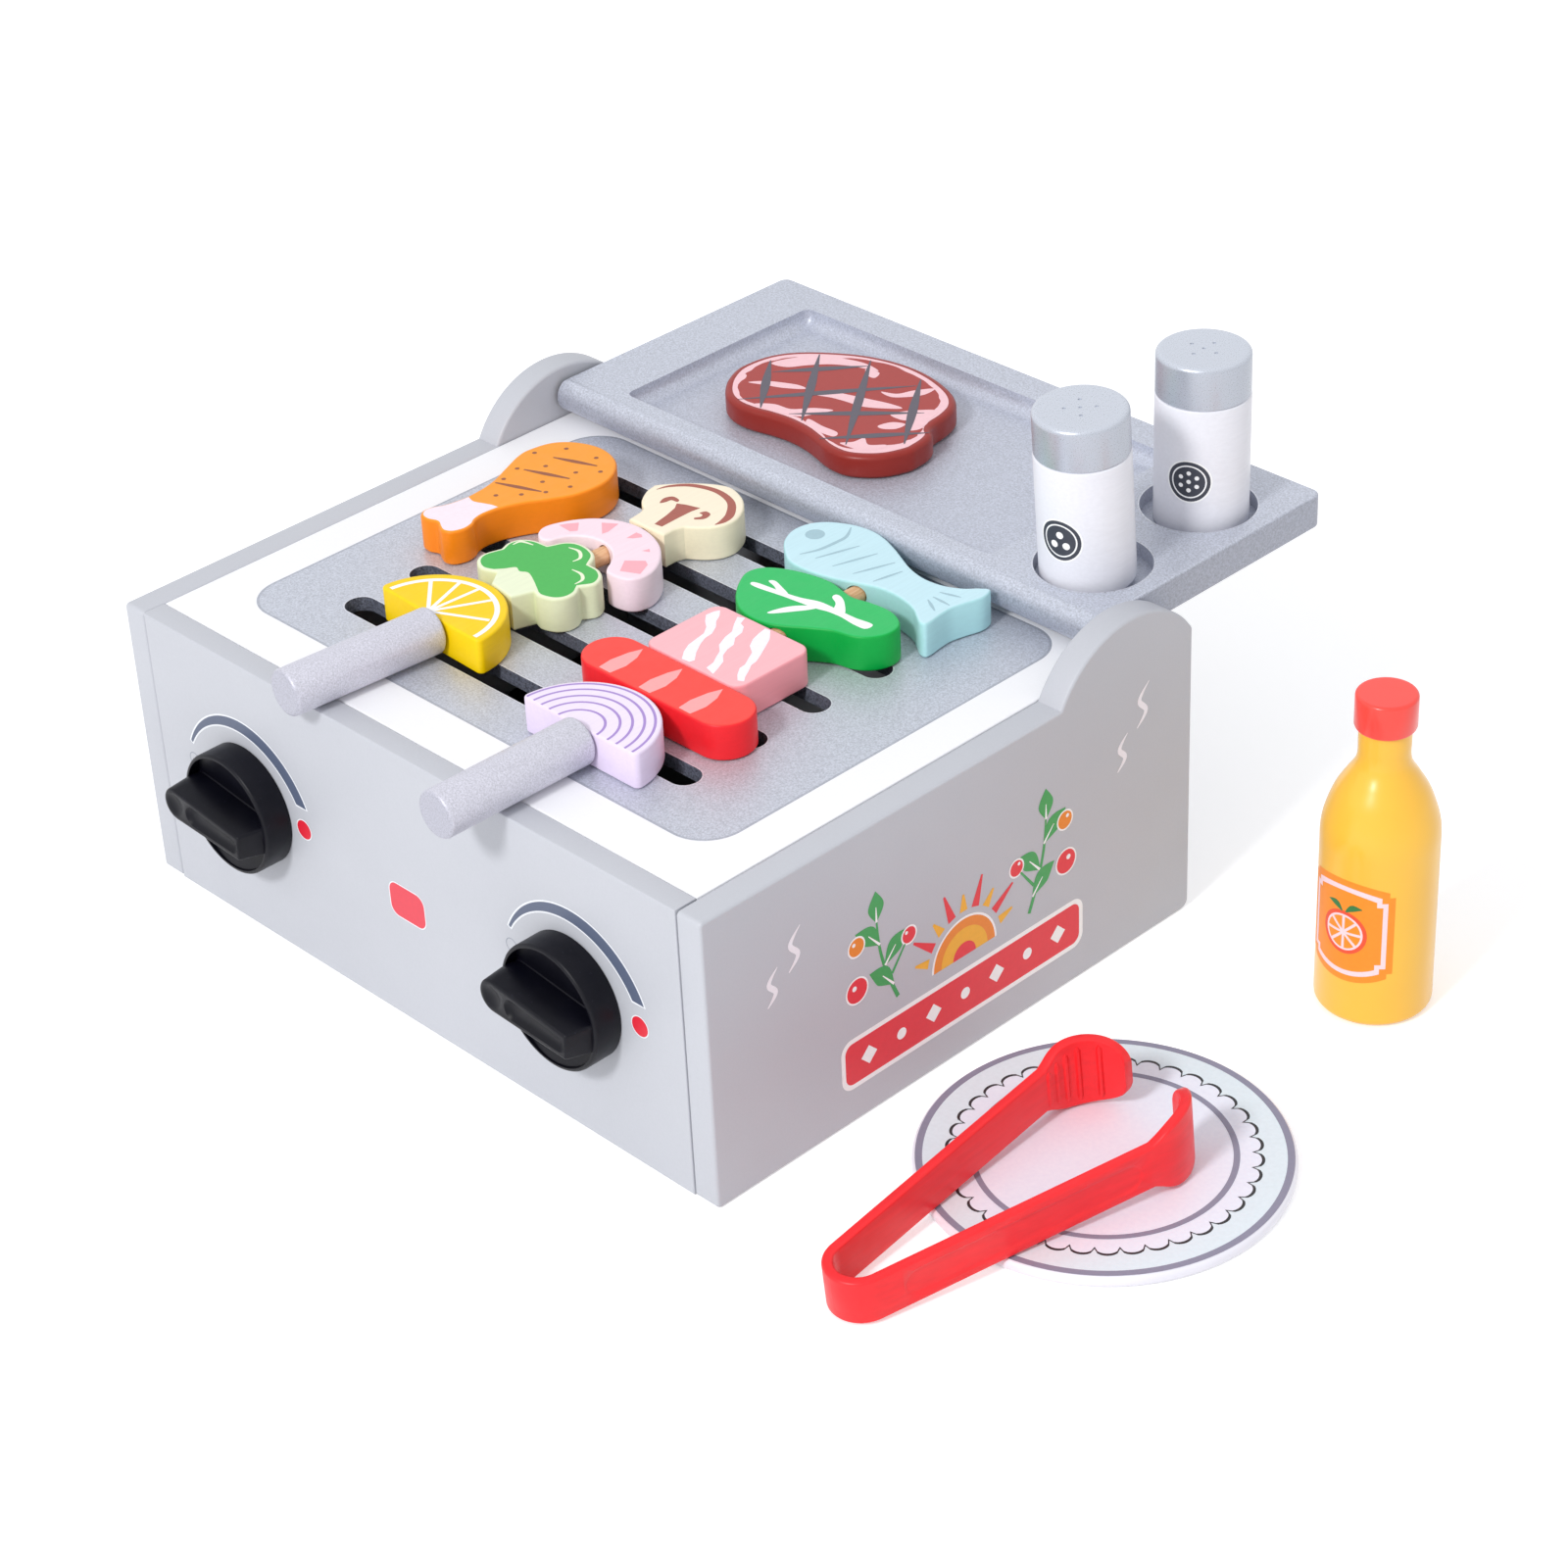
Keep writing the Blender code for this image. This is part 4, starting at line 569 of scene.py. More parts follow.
def knob_plastic():
    made = Coat("knob_black_plastic", 0.40, specular=0.22)
    black = linear("05050E")
    specks = made.ramp(made.noise(1100, 1), (0.70, black), (0.76, linear("22222E")))
    made.color(made.mix(0.5, specks, made.clouds(60, 2, black, linear("0A0A17"))))
    made.roughness(made.clouds(90, 3, 0.34, 0.46))
    made.bump(made.noise(2600, 2), 0.2, 0.0001)
    return made.material


def tongs_plastic():
    made = Coat("tongs_red_plastic", 0.34, specular=0.4)
    base = linear("F9262D")
    flow = made.noise(1, 3, made.stretched(500, 30, 500))
    made.color(made.ramp(flow, (0.25, shade(base, 0.93)), (0.75, shade(base, 1.05))))
    made.roughness(made.clouds(120, 3, 0.30, 0.44))
    made.bump(flow, 0.18, 0.0003)
    return made.material


def gloss_paint(name, code, roughness, coat):
    made = Coat(name, roughness, coat=coat)
    base = linear(code)
    made.color(made.clouds(30, 3, shade(base, 0.965), shade(base, 1.03)))
    made.bump(made.noise(420, 2), 0.07, 0.0002)
    return made.material


def steel_coat():
    made = Coat("bright_steel", 0.28, 1.0)
    lines = made.noise(1, 3, made.stretched(200, 4000, 4000))
    made.color(made.ramp(lines, (0.3, linear("B4B4B8")), (0.7, linear("D2D2D6"))))
    made.bump(lines, 0.1, 0.0001)
    return made.material


# Printed marks

def path_points(points, steps=7, closed=False):
    """Smooth curve through points of any dimension."""
    spots = [Vector(point) for point in points]
    count = len(spots)
    if count < 3:
        return spots
    curve = []
    spans = count if closed else count - 1
    for index in range(spans):
        here, ahead = spots[index], spots[(index + 1) % count]
        last = spots[index - 1] if closed or index else here
        beyond = spots[(index + 2) % count] if closed or index + 2 < count else ahead
        for step in range(steps):
            t = step / steps
            curve.append(0.5 * ((2 * here) + (ahead - last) * t
                                + (2 * last - 5 * here + 4 * ahead - beyond) * t**2
                                + (3 * here - last - 3 * ahead + beyond) * t**3))
    if not closed:
        curve.append(spots[-1])
    return curve


class Print:
    """Printed shapes in a plane, laid just over a surface by a mapping."""

    def __init__(self):
        self.bm = bmesh.new()
        self.coats = []
        self.count = 0

    def level(self, layer):
        """Each shape lies a little over the ones before it on its layer."""
        self.count += 1
        return layer + 0.02 * self.count

    def slot(self, coat):
        if coat not in self.coats:
            self.coats.append(coat)
        return self.coats.index(coat)

    def fill(self, points, coat, layer=0):
        layer = self.level(layer)
        face = self.bm.faces.new([self.bm.verts.new((x, y, layer)) for x, y in points])
        face.material_index = self.slot(coat)

    def smooth(self, points, coat, layer=0):
        self.fill([tuple(p) for p in path_points(points, closed=True)], coat, layer)

    def band(self, points, widths, coat, layer=0, steps=7):
        """Stroke along a smooth path; widths go with the points, 0 makes a pointed end."""
        if not isinstance(widths, (tuple, list)):
            widths = [widths] * len(points)
        curve = path_points([(x, y, w) for (x, y), w in zip(points, widths)], steps)
        left, right = [], []
        for index, spot in enumerate(curve):
            ahead = curve[min(index + 1, len(curve) - 1)]
            last = curve[max(index - 1, 0)]
            way = Vector((ahead.x - last.x, ahead.y - last.y)).normalized()
            half = max(spot.z, 0.02) / 2
            left.append((spot.x - way.y * half, spot.y + way.x * half))
            right.append((spot.x + way.y * half, spot.y - way.x * half))
        self.strip(left, right, coat, layer)

    def stroke(self, start, end, tip, belly, coat, layer=0):
        """Straight stroke, belly wide in the middle and tip wide at its ends."""
        self.band([start, between(start, end), end], [tip, belly, tip], coat, layer)

    def strip(self, left, right, coat, layer=0, closed=False):
        """Surface between two rows of points."""
        slot, layer = self.slot(coat), self.level(layer)
        pairs = [(self.bm.verts.new((*a, layer)), self.bm.verts.new((*b, layer)))
                 for a, b in zip(left, right)]
        after = pairs[1:] + (pairs[:1] if closed else [])
        for (a, b), (c, d) in zip(pairs, after):
            self.bm.faces.new((b, d, c, a)).material_index = slot

    def disc(self, x, y, radius, coat, layer=0, steps=28):
        self.fill(circle(radius, steps, (x, y)), coat, layer)

    def ring(self, x, y, inner, outer, coat, layer=0, start=0.0, stop=360.0, steps=96):
        spots = arc((0, 0), 1, radians(start), radians(stop), steps)
        inside = [(x + a * inner, y + b * inner) for a, b in spots]
        self.strip(inside, [(x + a * outer, y + b * outer) for a, b in spots], coat, layer)

    def make(self, name, body, mapping, slot, cut_step=None):
        bm = self.bm
        if cut_step:
            low = min(v.co.x for v in bm.verts)
            high = max(v.co.x for v in bm.verts)
            at = low + cut_step / 2
            while at < high:
                everything = list(bm.verts) + list(bm.edges) + list(bm.faces)
                bmesh.ops.bisect_plane(bm, geom=everything, plane_co=(at, 0, 0),
                                       plane_no=(1, 0, 0))
                at += cut_step
        for vert in bm.verts:
            u, v, layer = vert.co
            vert.co = mapping(u, v, 0.03 + 0.02 * layer)
        mesh = mesh_from(name, bm, [INKS.get(coat) or COATS[coat] for coat in self.coats])
        mesh.transform(Matrix.Scale(MM, 4))
        mesh.shade_smooth()
        obj = added(name, mesh)
        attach(obj, body)


def on_top(height):
    """Mapping onto a level face; v counts from the box's front face."""
    return lambda u, v, lift: (u, v + FRONT, height + lift)


def on_front(u, v, lift):
    return (u, FRONT - lift, v)


def on_right(u, v, lift):
    return (RIGHT + lift, u + FRONT, v)


def round_upright(radius, toward, place):
    """Mapping onto an upright cylinder; u runs round it from the direction toward."""
    out = Vector((*toward, 0)).normalized()
    along = Vector((-out.y, out.x, 0))

    def mapping(u, v, lift):
        turn = u / radius
        spot = (out * cos(turn) + along * sin(turn)) * (radius + lift)
        return place @ Vector((spot.x, spot.y, v))
    return mapping


# Grill box

def paint_node(node, coat):
    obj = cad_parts[node]
    obj.data.materials.clear()
    obj.data.materials.append(COATS[coat])


def build_box():
    ear, ear_reach = 35.5, 29.5
    ear_y, ear_z = BACK - ear_reach, DECK + 18.6 - ear
    crest = arc((ear_y, ear_z), ear, acos(ear_reach / ear), pi - asin((DECK - ear_z) / ear), 72)
    corners = [(FRONT, 0, 1.6), (BACK, 0, 3.0), (*crest[0], 2.2)]
    corners += [(y, z, 0) for y, z in crest[5:]] + [(FRONT, DECK, 1.6)]
    side = rounded(corners, 5)
    for name, x in (("left_side_panel", -RIGHT), ("right_side_panel", RIGHT - SIDE_BOARD)):
        make(name + "_painted", slab(side, 0, SIDE_BOARD, 1.0), ["grey"], "grill", [name],
             placed(x, 0, 0, SIDE_ON))
    for name, far, high in (("front_panel", FRONT + FRONT_BOARD, DECK),
                            ("back_panel", BACK, 104.1)):
        plan = [(-BOARD_END, 0), (BOARD_END, 0), (BOARD_END, high), (-BOARD_END, high)]
        make(name + "_painted", slab(plan, 0, FRONT_BOARD, 0.45), ["grey"], "grill", [name],
             placed(0, far, 0, FACE_ON))
    # base panel and cleats near black: painted shade for the inside of the box seen through the
    # slots
    for node in ("base_panel", "left_cleat", "right_cleat"):
        paint_node(node, "dark")
    for number in range(1, 11):
        paint_node(f"panel_dowel_{number:02d}", "stick")

    near, far = FRONT + FRONT_BOARD + GAP, BACK - FRONT_BOARD - GAP
    plan = [(-BOARD_END, near), (BOARD_END, near), (BOARD_END, far), (-BOARD_END, far)]
    slots = [prism(stadium(SLOT_LENGTH, SLOT_WIDTH, (x, y + FRONT)), DECK - 8, DECK + 3, 1)
             for x, y in SLOT_MIDDLES]
    make("deck_board_printed", slab(plan, DECK - 5, DECK, 0.4), ["deck", "slot"], "grill",
         ["deck_board"], cuts=slots)
    # a paler strip round each slot: painted highlight on the slot's edge
    rim_highlights = Print()
    for middle in SLOT_MIDDLES:
        rim_highlights.strip(stadium(SLOT_LENGTH, SLOT_WIDTH, middle),
                   stadium(SLOT_LENGTH + 0.8, SLOT_WIDTH + 0.8, middle), "rim", closed=True)
    rim_highlights.make("slot_rims", "grill", on_top(DECK), "board_white")


def build_front_prints():
    """Dial arc, dot and small ring by each knob, and a soft square between the knobs."""
    marks = Print()
    for x, z in ((-78.35, 0), (78.35, 0.4)):
        def sweep(grow, center, radius, start, stop):
            spot = (x + center[0], z + center[1])
            return arc(spot, radius + grow, radians(start), radians(stop), 48)

        outer, inner = ((0, 47.5), 32.5), ((-2, 45.2), 30.8)
        marks.strip(sweep(-0.6, *inner, 27.8, 150.6), sweep(0.6, *outer, 21.6, 155.8), "halo")
        marks.strip(sweep(0, *inner, 28.8, 149.8), sweep(0, *outer, 22.6, 155.0), "blue", 1)
        marks.disc(x + 27.5, 51.5 + 2 * z, 3.8, "halo")
        marks.disc(x + 27.5, 51.5 + 2 * z, 3.4, "red", 1)
        marks.ring(x - 29, 54 + z, 2.3, 2.6, "line", steps=40)
    for layer, (grow, ink) in enumerate(((0.4, "halo"), (0, "coral"))):
        square = rounded_box(16.6 + 2 * grow, 12.2 + 2 * grow, 3.5 + grow, (-0.7, 45.7))
        marks.fill(square, ink, layer)
    marks.make("front_prints", "grill", on_front, "panel_paint")


def build_side_prints():
    """Sun over a red bar between berry sprigs, and steam curls: plain ornaments."""
    center, bar_z = 106, 21.5
    marks = Print()
    marks.fill(rounded_box(107.4, 18.4, 4.6, (center, bar_z)), "white")
    marks.fill(rounded_box(104, 15, 3.2, (center, bar_z)), "ribbon", 1)
    for index in range(7):
        x, half = center + (index - 3) * 14, 3.4
        if index % 2:
            marks.disc(x, bar_z, 2.0, "white", 2)
        else:
            corners = ((x - half, bar_z), (x, bar_z - half), (x + half, bar_z), (x, bar_z + half))
            marks.fill(corners, "white", 2)
    sun = (center, 35.5)
    for layer, (radius, ink) in enumerate(((14.3, "white"), (13.5, "orange"), (10.2, "amber"),
                                           (5.0, "ribbon"))):
        marks.fill(arc(sun, radius, 0, pi, 40), ink, layer)
    for index in range(9):
        turn = radians(18 + 18 * index)
        far, ink = (27.0, "ribbon") if index % 2 else (22.5, "amber")
        ray = [(sun[0] + cos(turn) * reach, sun[1] + sin(turn) * reach) for reach in (16.4, far)]
        marks.band(ray, [3.4, 0.8], ink, 1)
    for side in (-1, 1):
        def spot(x, z):
            return (center + side * x, z)

        marks.band([spot(29, 36), spot(33, 46), spot(36, 57), spot(37, 68)], [1.5, 1.3, 1.1, 0.7],
                   "green", 1)
        for x, z, lean in ((30.6, 41.5, 1), (34.0, 50.0, -1), (35.9, 58.5, 1), (37, 67, 0)):
            tip = spot(x + 10 * lean, z + (8.5 if lean else 11))
            half = spot(x + 4.6 * lean, z + (5.2 if lean else 5.4))
            marks.band([spot(x, z), half, tip], [0.4, 6.6, 0.2], "green", 1)
            marks.band([spot(x, z), half], [0.9, 0.3], "white", 2)
        for x, z, radius, ink in ((46, 47, 4.2, "ribbon"), (45.6, 62.5, 3.1, "orange"),
                                  (23.6, 55.6, 2.8, "ribbon")):
            marks.disc(*spot(x, z), radius + 0.6, "white", 1)
            marks.disc(*spot(x, z), radius, ink, 2)
            marks.disc(*spot(x + 1.1, z + 1.2), radius * 0.22, "white", 3)
        marks.band([spot(31.2, 45.5), spot(25.4, 53.2)], [1.1, 0.7], "green", 1)
    for x, z, size in ((176, 68, 1.0), (185, 80, 1.2), (24, 60, 1.0), (33, 68, 1.15)):
        curl = [(x + a * size, z + b * size) for a, b in ((0, 0), (3.4, 4), (0.8, 8), (4.5, 12.5))]
        marks.band(curl, [0.5, 1.8, 1.8, 0.3], "pale")
    marks.make("side_prints", "grill", on_right, "panel_paint")


# Tray

def build_tray():
    """Board with a round nose on the hinge line, a coved recess and two pockets."""
    length, corner, edge = 105.0, 3.5, 1.0
    wide, deep, cove = 170.0, 87.7, 4.4
    levels = {TRAY_HALF * sin(pi * (step / 28 - 0.5)) for step in range(29)}
    for sign in (-1, 1):
        levels |= {sign * (TRAY_HALF - edge * (1 - cos(pi / 2 * step / 4))) for step in range(5)}
    rings = []
    for height in sorted(levels):
        nose = sqrt(max(TRAY_HALF**2 - height**2, 0))
        depth = TRAY_HALF - abs(height)
        inward = edge - sqrt(edge**2 - (edge - depth) ** 2) if depth < edge else 0
        x, y, curve = TRAY_EDGE - inward, length - inward, corner - inward
        plan = ((-x, -nose, 0), (x, -nose, 0), (x, y, curve), (-x, y, curve))
        rings.append(flat_ring(rounded(plan, 8), height))
    top = TRAY_HALF + 2
    steps = [(0, top)]
    for step in range(9):
        a = pi / 2 * step / 8
        steps.append((cove * (1 - cos(a)), (TRAY_HALF - 1.4) * (1 - sin(a))))
    middle = (RECESS_LEFT + wide / 2, 4.2 + deep / 2)
    hollow = []
    for inward, z in steps:
        plan = rounded_box(wide - 2 * inward, deep - 2 * inward, max(3.0 - inward, 0.5), middle)
        hollow.append(flat_ring(plan, z))
    pockets = [(POCKET_X, POCKET_Y + POCKET_PITCH * row) for row in range(2)]
    cuts = [loft(hollow[::-1], 1)]
    for spot in pockets:
        cuts.append(prism(circle(POCKET_RADIUS, 96, spot), TRAY_HALF - POCKET_DEPTH, top, 1))
    make("tray_painted", loft(rings), ["tray", "tray_wall"], "tray", ["tray"],
         placed(0, HINGE_Y, HINGE_Z), cuts)
    # a paler ring round each pocket: painted highlight on the pocket's rim
    lip = Print()
    for spot in pockets:
        inside, outside = (circle(POCKET_RADIUS + grow, 96, spot) for grow in (0, 0.4))
        lip.strip(inside, outside, "tray_lip", closed=True)
    lip.make("tray_lips", "tray", lambda u, v, lift: (u, v + HINGE_Y, HINGE_Z + TRAY_HALF + lift),
             "silver_paint")
    for word in ("left", "right"):
        paint_node("hinge_pin_" + word, "steel")
        paint_node("hinge_spacer_" + word, "knob")


# Knobs

def softened(bm, width, segments):
    """The same shape with rounded edges."""
    obj = raw_object("softened", bm, [])
    soft = obj.modifiers.new("edges", "BEVEL")
    soft.limit_method = "ANGLE"
    soft.angle_limit = radians(28)
    soft.width = width
    soft.segments = segments
    mesh = evaluated(obj)
    shaped = bmesh.new()
    shaped.from_mesh(mesh)
    bpy.data.meshes.remove(mesh)
    bpy.data.objects.remove(obj, do_unlink=True)
    return shaped


def build_knob(word, x):
    radius, drum, total, edge, lip = 21.0, 10.0, 18.5, 1.0, 1.3
    head_width, tail_width, draft = 12.8, 10.4, 0.7
    scoop_depth, scoop_fall, scoop_taper = 4.2, 3.6, 0.985
    bar_foot, bead_foot, bead_top, bead_out = drum - 5.4, drum - 5.2, drum - 3.6, 0.5
    dimple_radius, dimple_depth = 8.6, 1.1
    head_x = (head_width - 2 * radius) / 2 - 0.6
    profile = [(radius, 0), (radius, drum - edge)]
    profile += bow(radius - edge, drum - edge, edge, 22, 45, 67, 90)
    scoops = []
    for side in (-1, 1):
        rim, chord = radius - lip, tail_width / 2 + 0.2
        start = asin(chord / rim)
        outline = arc((0, 0), rim, start, pi - start, 48)
        if side < 0:
            outline = [(a, -b) for a, b in reversed(outline)]
        slope = scoop_fall / (rim - chord)
        floor = [(a * scoop_taper, b * scoop_taper + side * 0.1,
                  drum - scoop_depth + slope * (abs(b) - chord)) for a, b in outline]
        scoops.append(loft([floor, flat_ring(outline, drum + 0.02), flat_ring(outline, drum + 2)]))
    long_tail = radius - edge * 1.6
    tail = long_tail - 2.2

    def bar_ring(inward, end, height):
        nose = arc((head_x, 0), head_width / 2 - inward, pi / 2, 3 * pi / 2, 28)
        side = tail_width / 2 - inward
        return flat_ring(nose + [(end, -side), (end, side)], height)

    bar = softened(loft([bar_ring(0, long_tail, bar_foot), bar_ring(0, long_tail, drum),
                         bar_ring(draft, tail, total)]), 0.8, 4)
    bead = softened(loft([bar_ring(-bead_out, long_tail - 0.6, height)
                          for height in (bead_foot, bead_top)]), 0.35, 3)
    dimple = bmesh.new()
    bmesh.ops.create_uvsphere(dimple, u_segments=48, v_segments=24, radius=dimple_radius)
    bmesh.ops.translate(dimple, verts=dimple.verts,
                        vec=(head_x, 0, total + dimple_radius - dimple_depth))
    near, far = head_x + 6.1, tail - 1.1

    def trough(outset, height):
        """Outline of the hollow behind the head, wide by the head and narrower by the tail."""
        wide, slim = 3.0 + outset, 2.3 + outset
        first = arc((near + 3.0, 0), wide, pi / 2, 3 * pi / 2, 20)
        last = arc((far - 2.3, 0), slim, -pi / 2, pi / 2, 20)
        return flat_ring(first + last, height)

    groove = loft([trough(outset, total + rise) for outset, rise in (
        (-1.6, -1.5), (-0.7, -1.25), (0.1, -0.7), (0.75, 0.05), (0.75, 1))])
    place = placed(x, FRONT - GAP, 50.0, FACE_ON @ turn_by(-5))
    name = "knob_" + word
    make(name + "_moulded", turned(profile, 128), ["knob"], name, [name], place, cuts=scoops)
    make(name + "_pointer", bar, ["knob"], name, (), place, [dimple, groove])
    make(name + "_bead", bead, ["knob"], name, (), place)
    paint_node(name + "_spindle", "stick")
    paint_node(name + "_washer", "steel")
    paint_node(name + "_screw", "steel")


# Skewers and food

class Skewer:
    """Running place for the food along a stick, as in the frame."""

    HANDLE_RADIUS, SOCKET_DEPTH = 7.8, 15

    def __init__(self, word, x, end, yaw, reach):
        self.word = word
        self.turn = turn_by(yaw)
        self.way = self.turn @ Vector((0, 1, 0))
        self.root = Vector((x, FRONT + end, DECK + GAP + self.HANDLE_RADIUS))
        self.reach = reach
        self.next_y = self.root.y + GAP

    def build(self):
        radius, edge, length = self.HANDLE_RADIUS, 1.4, 55.7
        body = f"{self.word}_skewer"
        ends = [(radius - edge - 0.4, 0)]
        ends += bow(radius - edge, edge, edge, -90, -72, -54, -36, -18, 0)
        profile = ends + [(r, length - z) for r, z in reversed(ends)]
        along = self.turn @ turn_by(-90, "X")
        back = self.root - self.way * length
        make(f"skewer_handle_{self.word}_painted", turned(profile, 96), ["handle"], body,
             [f"skewer_handle_{self.word}"], Matrix.Translation(back) @ along)
        thick, stem = 3.0, self.reach + self.SOCKET_DEPTH
        tip = bow(0, stem - thick, thick, 0, 20, 40, 60, 75, 88)
        socket = self.root - self.way * self.SOCKET_DEPTH
        make(f"skewer_stick_{self.word}_grained", turned([(thick, 0)] + tip, 48), ["stick"], body,
             [f"skewer_stick_{self.word}"], Matrix.Translation(socket) @ along)

    def thread(self, name, outline, length, shift, space=0.0, yaw=0.0):
        """Put a bored block next on the stick; returns its middle, in x and from the front."""
        middle = self.next_y + space + length / 2
        x = self.root.x + (middle - self.root.y) * self.way.x / self.way.y + shift
        place = placed(x, middle, FOOD_FOOT, turn_by(yaw))
        bore = rod(self.root - self.way * 2, self.root + self.way * (self.reach + GAP), 3.4)
        bmesh.ops.transform(bore, matrix=place.inverted(), verts=bore.verts)
        make(name + "_painted", slab(outline, 0, FOOD_THICK, 0.8), [name],
             f"{self.word}_skewer_food", [name], place, [bore])
        self.next_y = middle + length / 2 + GAP
        return x, middle - FRONT


def build_left_skewer():
    skewer = Skewer("left", x=-35.3, end=47.2, yaw=-4.8, reach=111)
    skewer.build()
    skewer.thread("lemon", half_disc(25, 2), 25, shift=-3.0, space=0.2, yaw=-2.4)
    crown = smooth_loop(BROCCOLI, 41.2, 34.6)
    spot = skewer.thread("broccoli", crown, 34.6, shift=-1.5, space=1.8)
    skewer.thread("shrimp", smooth_loop(SHRIMP, 49, 27.3), 27.3, shift=1.1, space=-7.3)
    skewer.thread("mushroom", smooth_loop(MUSHROOM, 37.2, 36.4), 36.4, shift=-0.4, space=0.7)
    print_broccoli(crown, spot)


def print_broccoli(outline, spot):
    """Green crown over the lobes, open at the stalk, with short curls."""
    rim = [(x + spot[0], y + spot[1]) for x, y in inset(outline, 1.25)]
    stalk_start, stalk_end = 27, 51
    lobes = rim[stalk_end:] + rim[:stalk_start]
    seam = path_points([lobes[-1], (-41.2, 82.2), (-39.0, 85.2), (-36.2, 84.3), (-33.4, 85.5),
                        (-28.8, 83.6), lobes[0]])
    marks = Print()
    marks.fill(lobes + [tuple(p) for p in seam[1:-1]], "broccoli")
    for curl in (((-50.8, 94.2), (-50.3, 97.3), (-45.6, 98.4)),
                 ((-35.8, 104.8), (-31.6, 105.4), (-28.0, 102.8), (-28.0, 99.6)),
                 ((-24.3, 96.0), (-20.0, 96.0), (-17.0, 93.8), (-16.7, 90.4))):
        marks.band(curl, [0.4] + [1.1] * (len(curl) - 2) + [0.4], "leaf_white", 1)
    marks.make("broccoli_print", "left_skewer_food", on_top(FOOD_TOP), "broccoli_green")


def build_right_skewer():
    skewer = Skewer("right", x=47.5, end=34.4, yaw=-0.8, reach=128)
    skewer.build()
    skewer.thread("onion", half_disc(25.3, 2), 25.3, shift=-1.1)
    skewer.thread("sausage", stadium(68.7, 19.7, steps=40), 19.7, shift=-0.2)
    skewer.thread("bacon", rounded_box(42, 32, 4.5), 32, shift=-1.8)
    skewer.thread("leaf", smooth_loop(LEAF, 60.5, 32.2), 32.2, shift=-0.3, space=0.3)
    skewer.thread("fish", smooth_loop(FISH, 75.5, 32), 32, shift=-1.8, space=-0.3)


